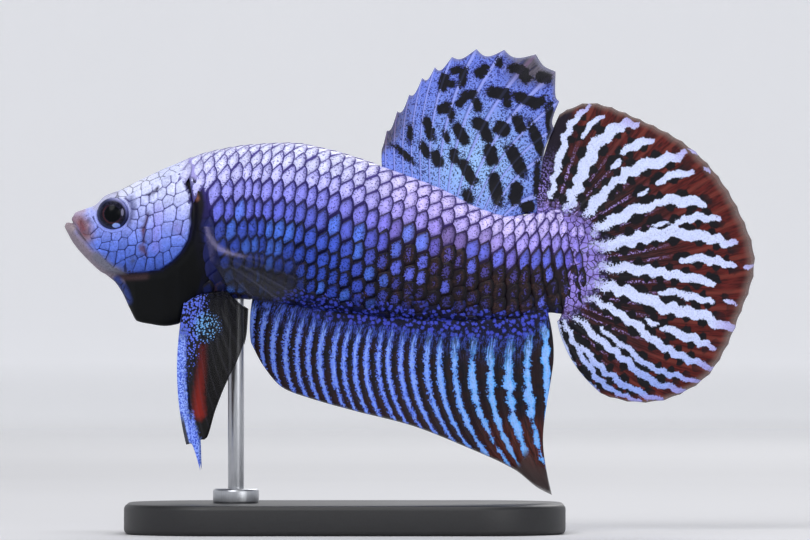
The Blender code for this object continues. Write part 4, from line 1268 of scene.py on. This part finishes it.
dorsal = {
    "grid": (196, 100), "lines": 90, "thick": (0.38, 0.1, 0.22), "wave": (0.35, 2.2, 0.0),
    "root": (3.7, 16.0), "rays": 14, "tuck": 0.5, "fork": 0.75,
    "smokeFrom": (15.0, 18.5), "smokeAbove": (44.0, 46.0),
    "lightAt": (13.0, 37.0), "lightHalf": (5.5, 5.0),      # the lighter blue low on the fin
    "margin": [(0.0, 3.7, 39.2), (0.08, 4.8, 41.5), (0.16, 6.1, 43.4), (0.26, 7.9, 45.7), (0.36, 9.8, 47.1),
               (0.46, 13.0, 48.4), (0.55, 16.5, 48.3), (0.64, 20.2, 47.4), (0.72, 21.5, 44.3),
               (0.82, 20.9, 40.5), (0.90, 19.8, 37.3), (1.0, 19.5, 31.8)],
    # black blotches: middle, half length, half width, turn in degrees
    "blotches": [
        (13.7, 46.2, 0.68, 0.42, 40), (11.8, 45.6, 0.95, 0.3, 80), (11.2, 46.3, 0.6, 0.3, 10),
        (9.9, 45.1, 0.8, 0.4, 78), (10.6, 44.9, 0.4, 0.28, 0), (17.3, 46.4, 0.95, 0.4, -12),
        (18.0, 45.6, 0.6, 0.42, -50), (19.9, 45.6, 0.8, 0.5, -8), (15.4, 44.0, 1.15, 0.5, -10),
        (16.2, 43.1, 0.6, 0.28, -75), (18.2, 43.3, 1.4, 0.45, -20), (19.3, 43.0, 0.8, 0.35, 35),
        (11.6, 43.1, 0.5, 0.3, 50), (12.4, 43.8, 0.75, 0.38, 5), (13.2, 42.9, 0.8, 0.3, -72),
        (9.9, 42.5, 0.6, 0.42, 30), (10.6, 42.0, 0.9, 0.2, -80), (8.4, 40.5, 1.15, 0.35, -72),
        (6.5, 40.0, 0.8, 0.22, 85), (5.9, 37.9, 1.35, 0.2, -42), (8.0, 38.3, 0.8, 0.3, -58),
        (9.2, 37.4, 0.8, 0.42, -70), (10.9, 37.7, 0.68, 0.36, -80), (10.1, 39.7, 0.6, 0.2, -68),
        (11.6, 39.9, 1.15, 0.45, -58), (13.5, 40.9, 0.72, 0.5, -20), (14.1, 39.9, 0.85, 0.4, -70),
        (15.7, 40.4, 0.72, 0.6, -25), (17.4, 40.9, 0.85, 0.46, -68), (14.6, 37.8, 1.05, 0.56, -75),
        (17.1, 37.3, 1.7, 0.56, -62), (19.2, 39.3, 2.0, 0.4, -70), (20.6, 40.8, 2.3, 0.38, -84),
        (12.3, 36.1, 1.4, 0.42, -58), (15.1, 34.4, 1.65, 0.5, -80), (17.1, 34.0, 1.1, 0.55, 82),
        (18.3, 32.6, 0.6, 0.5, 20), (19.2, 35.3, 1.9, 0.22, 88), (12.3, 33.7, 0.65, 0.4, -70),
        (15.4, 47.1, 0.5, 0.25, 85)],
}


def dorsalRay(s):
    x = dorsal["root"][0] + (dorsal["root"][1] - dorsal["root"][0]) * s
    high = curveAt(body["backLine"], x)
    tip = pathAt(dorsal["margin"], s)
    lean = 0.05 + 0.2 * s
    root = (x, high + 0.3)
    middle = ((root[0] + tip[0]) / 2, (root[1] + tip[1]) / 2)
    bend = (middle[0] - lean * (tip[1] - root[1]), middle[1] + 0.3 * lean * (tip[0] - root[0]))
    long = np.hypot(tip[0] - root[0], tip[1] - root[1])
    draw = scallop(dorsal["rays"], s, dorsal["fork"]) * smoothStep(0.95, 0.75, s) / np.maximum(long, 1.0)
    tip = (tip[0] + (root[0] - tip[0]) * draw, tip[1] + (root[1] - tip[1]) * draw)
    return (x, high - dorsal["tuck"]), bend, tip


def dorsalColours(start, where, grain):
    gap, edge = start.value("blotch"), start.value("edge")
    smoke = start.value("smoke")
    ragged, specks = start.noise(where, 0.4, 3.0), start.noise(where, 0.17, 2.0)
    black = (gap + 0.5 * (ragged - 0.5) + 0.7 * (specks - 0.5)).between(0.05, -0.05)
    across = start.value("acrossRays")
    turns = across * (dorsal["rays"] * 2 * math.pi)
    line, beside = (turns - math.pi / 2).sine().between(0.86, 0.98), (turns - 1.0).sine().between(0.85, 1.0)
    strands = start.grainAlong(across, 1 - edge, 130.0, 8.0)
    low = start.value("low")
    blue = start.mix(low, (108, 128, 226), (160, 200, 255))
    blue = start.mix(strands.between(0.5, 0.7) * 0.3, blue, (170, 184, 255))
    blue = start.shade(blue, 0.45 + 1.1 * specks)
    dots = (specks + gap.between(0.8, 0.0) * 0.05 + 0.1 * (grain - 0.5)).between(0.54, 0.6)
    blue = start.mix(dots * 0.9, blue, start.mix(low, (34, 34, 110), (14, 20, 56)))
    blue = start.mix(beside * 0.5, blue, (44, 50, 130))
    blue = start.mix(line * 0.85, blue, (150, 162, 238))
    smoky = start.mix(strands.between(0.4, 0.6), (46, 42, 56), (96, 90, 104))
    smoky = start.mix(line * 0.7, smoky, (120, 96, 128))
    base = start.mix(smoke + 0.5 * (strands - 0.5) * smoke.between(0.0, 0.3), blue, smoky)
    base = start.mix(black * (1 - 0.04 * line), base, (12, 12, 22))
    rim = start.mix(edge.between(0.035, 0.0) * 0.6, base, (110, 112, 160))
    return rim, 1 - edge.between(0.05, 0.0) * 0.3 - smoke * 0.12


def dorsalMarks(s, t, x, z):
    gap = blotchGap(dorsal["blotches"], x, z)
    rear = smoothStep(*dorsal["smokeFrom"], x) * smoothStep(*dorsal["smokeAbove"], z)
    front = smoothStep(0.3, 0.06, s) * smoothStep(0.35, 0.7, t) * 0.9
    (lightX, lightZ), (halfX, halfZ) = dorsal["lightAt"], dorsal["lightHalf"]
    low = np.exp(-((x - lightX) / halfX) ** 2 - ((z - lightZ) / halfZ) ** 2)
    return {"blotch": gap, "edge": 1 - t, "smoke": np.maximum(rear, front), "low": low}


makeFin("dorsalFin", "dorsal_fin", "dorsalWeb", dorsal, dorsalRay, dorsalMarks, dorsalColours)

anal = {
    "grid": (330, 70), "lines": 160, "wave": (0.4, 3.0, 0.8),
    "root": (-9.2, 20.2), "tuck": 0.5,
    "margin": [(0.0, -9.4, 19.0), (0.05, -8.3, 16.9), (0.12, -6.2, 14.5), (0.2, -3.6, 13.5),
               (0.35, 1.0, 12.2), (0.5, 6.5, 10.8), (0.65, 12.1, 8.6), (0.78, 17.0, 6.3), (0.86, 19.3, 4.5),
               (0.92, 20.7, 3.8), (0.96, 19.8, 9.3), (1.0, 20.8, 16.7)],
    # where the pale stripes cross the middle of the fin's depth
    "stripes": [-8.0, -7.0, -5.8, -4.7, -3.6, -2.5, -1.1, -0.1, 1.0, 2.1, 3.4, 4.3, 5.6, 6.7, 8.2, 9.4,
                10.9, 12.7, 14.5, 16.4, 18.3, 20.2],
    "middle": 16.3, "stripeHalf": 0.235,           # half width of a stripe, in spacings
    "thick": (0.36, 0.1, 0.21),
    "tipBelow": (7.2, 6.0), "tipFrom": (16.3, 17.0), "tipPeak": (18.3, 1.6),
    "brownBelow": (12.5, 9.5), "brownFrom": (12.5, 15.5),
}


def analRay(s):
    x = anal["root"][0] + (anal["root"][1] - anal["root"][0]) * s
    low = curveAt(body["bellyLine"], x)
    tip = pathAt(anal["margin"], s)
    root = (x, low - 0.3)
    length = np.hypot(tip[0] - root[0], tip[1] - root[1])
    bow = 0.27 * length * (1 - smoothStep(0.88, 1.0, s)) - 0.12 * length * smoothStep(0.93, 1.0, s)
    bow = bow * (0.4 + 0.6 * smoothStep(0.0, 0.12, s))
    bend = ((root[0] + tip[0]) / 2 - bow, (root[1] + tip[1]) / 2)
    return (x, low + anal["tuck"]), bend, tip


def stripePhase(s):
    # whole numbers in the middle of the pale stripes
    many = np.linspace(0, 1, 401)
    path = alongRay(analRay(many[:, None]), np.linspace(0, 1, 101))
    nearest = np.argmin(np.abs(path[..., 1] - anal["middle"]), axis=1)
    crossing = np.maximum.accumulate(path[np.arange(len(many)), nearest, 0])
    where = np.interp(anal["stripes"], crossing, many)
    count = np.arange(len(where))
    where = np.concatenate([[2 * where[0] - where[1]], where, [2 * where[-1] - where[-2]]])
    return np.interp(s, where, np.concatenate([[-1], count, [len(count)]]))


def analThick(s, t):
    # half thickness, with one ray in each dark line
    foot, web, onRay = anal["thick"]
    thin = web + (foot - web) * smoothStep(0.3, 0.0, t)
    return thin + (onRay - web) * ridge(stripePhase(s) + 0.5, 0.17) * (1 - 0.6 * t)


def analMarks(s, t, x, z):
    phase = stripePhase(s)
    spacing = np.interp(phase, np.arange(len(anal["stripes"]) - 1), np.diff(anal["stripes"]))
    off = np.abs((phase + 0.5) % 1.0 - 0.5) * spacing
    wide = anal["stripeHalf"] * spacing * (1 - 0.3 * smoothStep(0.55, 1.0, t))
    peakX, peakHigh = anal["tipPeak"]
    tip = smoothStep(*anal["tipBelow"], z - peakHigh * bell(x - peakX, 0.8))
    tip = tip * smoothStep(*anal["tipFrom"], x)
    brown = smoothStep(*anal["brownFrom"], x) * smoothStep(*anal["brownBelow"], z)
    return {"stripe": off - wide, "rearward": s, "edge": 1 - t, "tip": tip, "brown": brown}


def analColours(start, where, grain):
    gap, edge = start.value("stripe"), start.value("edge")
    rearward, tip = start.value("rearward"), start.value("tip")
    fromRoot = start.value("fromRoot")
    ragged = start.noise(where, 0.32, 3.0)
    lumps = start.noise(where, 1.3, 1.0)
    across = start.value("acrossRays")
    strands = start.grainAlong(across, fromRoot, 200.0, 14.0)
    specks = start.noise(where, 0.16, 2.0)
    knots = rearward.between(0.5, 0.85)
    near = gap + 0.45 * (ragged - 0.5) + 0.7 * (specks - 0.5) + 1.3 * (lumps - 0.45) * knots
    pale = near.between(0.05, -0.06)
    blue = start.mix(knots, (98, 130, 242), (96, 174, 248))
    blue = start.mix(strands.between(0.5, 0.66) * 0.6, blue, (150, 182, 255))
    # painted highlight: the pale stripes lighter along their middles
    blue = start.mix(near.between(-0.12, -0.3) * 0.5, blue, (158, 190, 255))
    blue = start.mix(near.between(-0.16, 0.04) * 0.6, blue, (54, 70, 196))
    dark = start.mix(lumps.between(0.4, 0.6), (12, 10, 22), (30, 15, 22))
    dark = start.mix(fromRoot.between(0.5, 1.0) * 0.5, dark, (42, 22, 30))
    brown = start.mix(strands.between(0.4, 0.6), (46, 20, 19), (84, 38, 33))
    dark = start.mix(start.value("brown"), dark, brown)
    base = start.mix(pale, dark, start.shade(blue, 0.45 + 1.1 * specks))
    foot = (fromRoot + 0.3 * (strands - 0.5)).between(0.34, 0.1)
    sparse = 0.5 * gap.between(-0.1, 0.25) + 0.6 * (specks - 0.5)
    flecks = start.mix((strands + 0.5 * (specks - 0.5) - 0.1 * sparse).between(0.44, 0.56), (12, 12, 28),
                       start.mix(fromRoot.between(0.1, 0.4), (60, 84, 190), blue))
    base = start.mix(foot * 0.92, base, flecks)
    beaded = (fromRoot + 0.2 * (ragged - 0.5)).between(0.16, 0.1) * rearward.between(0.1, 0.3)
    base = start.mix(beaded, base, blueBeads(start, where, specks))
    base = start.mix(tip, base, start.mix(edge.between(0.25, 0.05), brown, (52, 36, 36)))
    return base, 1 - edge.between(0.04, 0.0) * 0.4 - tip * 0.15


makeFin("analFin", "anal_fin", "analWeb", anal, analRay, analMarks, analColours, thickOf=analThick)

sides = [("left", -1.0), ("right", 1.0)]
pelvic = {
    "grid": (84, 80), "lines": 30, "thick": (0.3, 0.09, 0.2),
    "root": [(0.0, -16.1, 21.3), (0.5, -13.6, 22.4), (1.0, -11.7, 22.9)],
    "margin": [(0.0, -15.8, 8.9), (0.071, -15.3, 9.0), (0.143, -14.4, 6.3), (0.214, -14.5, 9.4),
               (0.3, -14.0, 9.4), (0.45, -13.0, 12.3), (0.6, -12.0, 14.8), (0.75, -10.7, 17.3),
               (0.88, -9.9, 19.8), (1.0, -9.7, 22.4)],
    # the root's distance from the keel, the tip's splay and how deep the foot sits in the belly
    "side": 1.6, "splay": 2.0, "tuck": 0.6, "sunk": 0.45, "rays": 7,
    "redLine": [(-14.2, 18.6), (-14.3, 16.4), (-14.55, 14.0), (-14.5, 12.0)],
    "cyanSpot": (-13.6, 20.6), "cyanHalf": (1.2, 1.4),
}


def pelvicRay(s):
    x, _ = pathAt(pelvic["root"], s)
    under = undersideZ(x, pelvic["side"]) - pelvic["sunk"]
    tip = pathAt(pelvic["margin"], s)
    bow = 1.6 + 2.0 * s - 3.6 * s * s
    bend = ((x + tip[0]) / 2 - bow, (under + tip[1]) / 2)
    return (x, under + pelvic["tuck"]), bend, tip


def pelvicMarks(s, t, x, z):
    red, along = pathGap(rounded(pelvic["redLine"]), x, z)
    (spotX, spotZ), (halfX, halfZ) = pelvic["cyanSpot"], pelvic["cyanHalf"]
    cyan = np.hypot((x - spotX) / halfX, (z - spotZ) / halfZ)
    fade = smoothStep(21.2, 18.6, z)
    return {"edge": 1 - t, "red": red, "glow": 0.35 + 0.65 * along, "cyan": cyan, "lead": s, "fade": fade}


def pelvicColours(start, where, grain):
    lead, t = start.value("lead"), start.value("fromRoot")
    red, cyan = start.value("red"), start.value("cyan")
    ragged, specks = start.noise(where, 0.3, 3.0), start.noise(where, 0.17, 2.0)
    grains = start.cells(where, 0.25)
    lines = (lead * (pelvic["rays"] * 4 * math.pi)).sine()
    dark = start.mix(t.between(0.3, 0.9), (8, 9, 18), (10, 9, 11))
    glow = start.value("glow")
    warm = (red + 0.5 * (ragged - 0.5) + 0.4 * (1 - glow)).between(1.0, 0.1) * glow
    base = start.mix(warm, dark, (128, 28, 20))
    base = start.mix(lines.between(0.8, 1.0) * 0.2, base, (50, 48, 66))
    fade = start.value("fade")
    blue = start.mix(specks.between(0.42, 0.56), (66, 92, 206), (150, 178, 255))
    tipward = t.between(0.68, 0.84)
    band = (lead + 0.16 * (ragged - 0.5) + 0.1 * (specks - 0.5) - 0.09 * tipward).between(0.18, 0.1) * fade
    base = start.mix(band, base, blue)
    base = start.mix(lead.between(0.06, 0.04) * t.between(0.74, 0.86), base, (58, 60, 72))
    field = t.between(0.66, 0.1) * lead.between(0.66, 0.3) * 0.8 + cyan.between(1.6, 0.4) * 0.42
    field = field + lead.between(0.34, 0.16) * t.between(0.72, 0.45) * t.between(0.05, 0.3) * 0.25
    flecks = (grains - 0.36 * field + 0.4 * (specks - 0.5)).between(0.28, 0.12) * field.between(0.05, 0.25)
    flecks = flecks * (1 - band)
    base = start.mix(flecks, base, start.mix(cyan.between(1.5, 0.6), (92, 112, 224), (116, 176, 236)))
    return base, 1 - lead.between(0.3, 0.6) * 0.25


def pelvicSide(side):
    def sideOf(s, t):
        return side * (pelvic["side"] + pelvic["splay"] * t**1.2)
    return sideOf


for label, side in sides:
    makeFin("pelvicFin_" + label, "pelvic_fin_" + label, "pelvicWeb", pelvic, pelvicRay, pelvicMarks,
            pelvicColours, pelvicSide(side))

pectoral = {
    "grid": (90, 60), "lines": 40, "thick": (0.22, 0.06, 0.14),
    "root": [(0.0, -13.7, 30.6), (1.0, -13.0, 27.2)],
    "margin": [(0.0, -8.2, 30.0), (0.2, -5.2, 28.7), (0.4, -3.2, 26.8), (0.55, -2.8, 25.0),
               (0.7, -4.2, 23.4), (0.85, -6.8, 22.7), (1.0, -11.6, 24.2)],
    # splay of the tip, distance off the flank and how far the foot dips back to it
    "splay": 3.6, "stands": 0.72, "foot": 0.75, "rays": 9,
    "arc": [(-14.0, 31.1), (-13.3, 29.4), (-12.4, 28.4), (-10.6, 27.8), (-8.0, 27.4)],
}


def pectoralRay(s):
    root = pathAt(pectoral["root"], s)
    tip = pathAt(pectoral["margin"], s)
    bend = ((root[0] + tip[0]) / 2, (root[1] + tip[1]) / 2 + 0.4)
    return (root[0] - 0.4, root[1]), bend, tip


def pectoralMarks(s, t, x, z):
    arc, _ = pathGap(rounded(pectoral["arc"]), x, z)
    return {"edge": 1 - t, "arc": arc + 0.4 * smoothStep(-12.5, -8.5, x)}


def pectoralColours(start, where, grain):
    t = start.value("fromRoot")
    across = start.value("acrossRays")
    rays = (across * (pectoral["rays"] * 2 * math.pi)).sine()
    film = start.mix(across.between(0.35, 0.6), (52, 62, 120), (14, 16, 30))
    arc = (start.value("arc") + 0.5 * (grain - 0.5)).between(0.6, 0.0)
    base = start.mix(t.between(0.1, 0.03), film, (110, 104, 140))
    base = start.mix(rays.between(0.8, 1.0) * 0.2, base, (84, 86, 120))
    base = start.mix(arc, base, (150, 142, 180))
    lower = across.between(0.4, 0.7) * t.between(0.1, 0.35)
    fade = t.between(1.0, 0.75)
    clear = (0.1 + 0.45 * lower + 0.06 * rays.between(0.8, 1.0) + 0.25 * (grain - 0.4)) * fade
    clear = clear.most(arc * 0.38)
    return base, clear


def pectoralSide(side):
    root = max(float(flankY(x, z)) for _, x, z in pectoral["root"]) + pectoral["stands"]

    def sideOf(s, t):
        return side * (root - pectoral["foot"] * smoothStep(0.12, 0.0, t) + pectoral["splay"] * t)
    return sideOf


for label, side in sides:
    makeFin("pectoralFin_" + label, "pectoral_fin_" + label, "pectoralFilm", pectoral, pectoralRay,
            pectoralMarks, pectoralColours, pectoralSide(side))


# ---- eyes

def eyePaint(start):
    where = start.objectPlace()
    x, z = eyeSizes["place"]
    off = start.node("VectorMath", {"operation": "SUBTRACT"}, {0: where, 1: (x, 0.0, z)})
    radius = start.lengthOf(off, (1.0, 0.0, 1.0))
    grain = start.noise(where, 0.18, 3.0)
    across, up = start.axis(off, 0), start.axis(off, 2)
    # painted light: the outer iris lighter towards the top and the rear
    lit = (across * 0.7 + up * 0.7).between(0.3, 1.5)
    iris = start.mix(grain.between(0.35, 0.7), (18, 18, 30), (38, 38, 56))
    outer = (radius + 0.1 * (grain - 0.5)).between(eyeSizes["iris"] - 0.1, eyeSizes["iris"] + 0.2)
    iris = start.mix(outer, iris, start.mix(lit, (54, 58, 88), (128, 130, 182)))
    ring = abs(radius - eyeSizes["pupil"] - 0.13).between(0.1, 0.02) * (across + up).between(0.9, -0.5)
    iris = start.mix(0.6 * ring, iris, (80, 38, 38))
    # painted highlights on the iris
    for (cx, cz), wide, tall, tint, share in eyeSizes["glints"]:
        far = (((across - cx) / wide) ** 2 + ((up - cz) / tall) ** 2) ** 0.5
        iris = start.mix((far + 0.5 * (grain - 0.5)).between(1.1, 0.75) * share, iris, tint)
    pupil = radius.between(eyeSizes["pupil"] + 0.04, eyeSizes["pupil"] - 0.04)
    base = start.mix(pupil, iris, (3, 6, 10))
    return {"Base Color": base, "Roughness": 0.3, "Coat Weight": 0.06, "Coat Roughness": 0.03,
            "Specular IOR Level": 0.05}


def buildEye(label, side):
    # a ball flattened along its axis, with a low cornea, turned a little forwards
    x, z = eyeSizes["place"]
    cos, sin = math.cos(math.radians(eyeSizes["yaw"])), math.sin(math.radians(eyeSizes["yaw"]))
    eye = newPiece("eye_" + label + "Ball", bpy.ops.mesh.primitive_uv_sphere_add, segments=64, ring_count=40,
                   radius=1.0)
    a, b, c = pointsOf(eye.data).T
    across, up = a * eyeSizes["radius"], b * eyeSizes["radius"]
    out = c * eyeSizes["bulge"] + eyeSizes["cornea"] * bell(np.hypot(a, b), 0.5) * (c > 0)
    y = side * (float(flankY(x, z)) - eyeSizes["sunk"])
    made = np.stack([x + across * cos - out * sin, y + side * (across * sin + out * cos), z + up], axis=-1)
    movePoints(eye.data, made * mm)
    mergeSeams(eye)
    place(eye, "eye", newMaterial("eyeGlass_" + label, eyePaint), ["eye_" + label])


for label, side in sides:
    buildEye(label, side)


# ---- stand

def standPaint(start):
    where = start.objectPlace()
    grain = start.noise(where, 0.25, 4.0)
    base = start.mix(grain, (20, 20, 22), (34, 34, 36))
    return {"Base Color": base, "Roughness": 0.42 + 0.12 * grain, "Normal": start.bump(grain, 0.02, 0.3)}


def steelPaint(start):
    where = start.objectPlace()
    brushed = start.noise(where, 0.4, 3.0, (8.0, 8.0, 0.4))
    base = start.mix(brushed, (150, 152, 156), (198, 200, 204))
    return {"Base Color": base, "Metallic": 1.0, "Roughness": 0.24 + 0.16 * brushed,
            "Normal": start.bump(brushed, 0.01, 0.3)}


standSizes = {
    "base": (44.0, 26.0, 3.0), "corner": 9.0, "bevel": 0.5,
    # rod and collar: piece, node, radius, foot and top
    "rodAt": -10.9, "rodBevel": 0.3,
    "rods": [("standRod", "stand_rod", 0.8, 1.2, 24.8), ("standCollar", "stand_collar", 2.3, 2.9, 4.45)],
}


def rounding(piece, name, width, segments, vertical):
    # bevels the upright edges, or all edges sharper than half a right angle
    bevel = piece.modifiers.new(name, "BEVEL")
    bevel.width, bevel.segments = width * mm, segments
    bevel.limit_method = "WEIGHT" if vertical else "ANGLE"
    if vertical:
        weights = piece.data.attributes.new("bevel_weight_edge", "FLOAT", "EDGE")
        for edge in piece.data.edges:
            a, b = [piece.data.vertices[i].co for i in edge.vertices]
            weights.data[edge.index].value = float(abs(a.z - b.z) > 0.5 * mm)
    bpy.ops.object.modifier_apply(modifier=name)


def shifted(z, x=0.0, size=(mm, mm, mm)):
    # sizes and moves a new primitive in its own mesh
    bpy.ops.object.mode_set(mode="EDIT")
    bpy.ops.transform.resize(value=size)
    bpy.ops.transform.translate(value=(x * mm, 0.0, z * mm))
    bpy.ops.object.mode_set(mode="OBJECT")


def buildStand():
    long, wide, high = standSizes["base"]
    base = newPiece("standBase", bpy.ops.mesh.primitive_cube_add, size=1.0)
    shifted(high / 2, size=(long * mm, wide * mm, high * mm))
    rounding(base, "corners", standSizes["corner"], 24, True)
    rounding(base, "edges", standSizes["bevel"], 4, False)
    bpy.ops.object.shade_smooth_by_angle(angle=math.radians(40))
    place(base, "stand_base", newMaterial("satinBlack", standPaint), ["stand_base"])
    steel = newMaterial("brushedSteel", steelPaint)
    for name, node, radius, low, high in standSizes["rods"]:
        rod = newPiece(name, bpy.ops.mesh.primitive_cylinder_add, vertices=64, radius=radius * mm,
                       depth=(high - low) * mm)
        shifted((high + low) / 2, standSizes["rodAt"], (1.0, 1.0, 1.0))
        rounding(rod, "edges", standSizes["rodBevel"], 4, False)
        bpy.ops.object.shade_smooth_by_angle(angle=math.radians(40))
        place(rod, "stand_metal", steel, [node])


buildStand()
print("stand finished")


# ---- floor, light and camera

studio = {
    "look": (6.0, 26.3),           # middle of the picture, along and up
    "distance": 1000.0, "pictureWidth": 81.0, "sensor": 36.0,
    "flatTo": 1900.0, "coveRadius": 400.0, "wallTop": 900.0,
    "glow": (100.0, 850.0),        # the far floor and the wall glow with painted light, like a light tent lit from inside
    "glowTint": (0.36, 0.365, 0.38),
    "air": (0.9, 0.93, 1.0, 1.0), "airStrength": 0.2,
    "pool": (110.0, 360.0, 560.0, 800.0),          # painted shade: the darker ring of floor round the stand, evening out the lamps' pool of light
    "lights": [                    # place, size, power in watts, aimed at the fish
        ("keyLight", (-160.0, -420.0, 420.0), 320.0, 1.7),
        ("fillLight", (330.0, -480.0, 140.0), 320.0, 0.6),
        ("topLight", (20.0, 0.0, 520.0), 360.0, 1.0),
        ("backLight", (140.0, 430.0, 360.0), 320.0, 1.2),
    ],
}


def floorPaint(start):
    where = start.objectPlace()
    soft = start.noise(where, 60.0, 2.0)
    far = start.lengthOf(where, (1.0, 1.0, 0.0))
    # painted light and shade: the far floor and the wall glow, and the paper is painted darker near the
    # stand and in a ring round it to even out the lamps' light
    glow = start.mix(far.between(*studio["glow"]), (0.0, 0.0, 0.0, 1.0), studio["glowTint"] + (1.0,))
    paperAndShade = start.mix(far.between(*studio["glow"]), (203, 203, 206), (226, 226, 228))
    near, full, fading, gone = studio["pool"]
    pool = far.between(near, full) * far.between(gone, fading)
    return {"Base Color": start.shade(paperAndShade, 0.98 + 0.04 * soft - 0.21 * pool), "Roughness": 0.85,
            "Emission Color": glow, "Emission Strength": 1.0}


def buildStudio():
    # a round floor whose rim turns up into a wall
    flat, radius = studio["flatTo"], studio["coveRadius"]
    bend = radius * math.pi / 2

    def dish(u, v):
        run = v**1.5 * (flat + bend + studio["wallTop"])
        angle = np.clip((run - flat) / radius, 0, math.pi / 2)
        far = np.minimum(run, flat) + radius * np.sin(angle)
        z = radius * (1 - np.cos(angle)) + np.maximum(run - flat - bend, 0)
        turn = 2 * math.pi * u
        return np.stack([far * np.cos(turn), far * np.sin(turn), z], axis=-1), {}
    floor = gridPiece("studioDish", 96, 72, dish)
    floor.data.materials.append(newMaterial("paperDish", floorPaint))
    target = Vector((studio["look"][0], 0.0, studio["look"][1])) * mm
    for name, spot, size, power in studio["lights"]:
        light = bpy.data.lights.new(name, "AREA")
        light.shape, light.size, light.energy = "DISK", size * mm, power
        lamp = bpy.data.objects.new(name, light)
        bpy.context.collection.objects.link(lamp)
        lamp.location = Vector(spot) * mm
        lamp.rotation_euler = (target - lamp.location).to_track_quat("-Z", "Y").to_euler()
    world = bpy.data.worlds.new("studioAir")
    world.use_nodes = True
    air = world.node_tree.nodes["Background"].inputs
    air["Color"].default_value, air["Strength"].default_value = studio["air"], studio["airStrength"]
    bpy.context.scene.world = world
    camera = bpy.data.cameras.new("camera")
    camera.sensor_width = studio["sensor"]
    camera.lens = studio["sensor"] * studio["distance"] / studio["pictureWidth"]
    camera.clip_start, camera.clip_end = 0.1, 10.0
    holder = bpy.data.objects.new("camera", camera)
    bpy.context.collection.objects.link(holder)
    holder.location = Vector((studio["look"][0], -studio["distance"], studio["look"][1])) * mm
    holder.rotation_euler = (math.pi / 2, 0.0, 0.0)
    bpy.context.scene.camera = holder
    bpy.context.scene.view_settings.view_transform = "Standard"


buildStudio()
print("studio set")
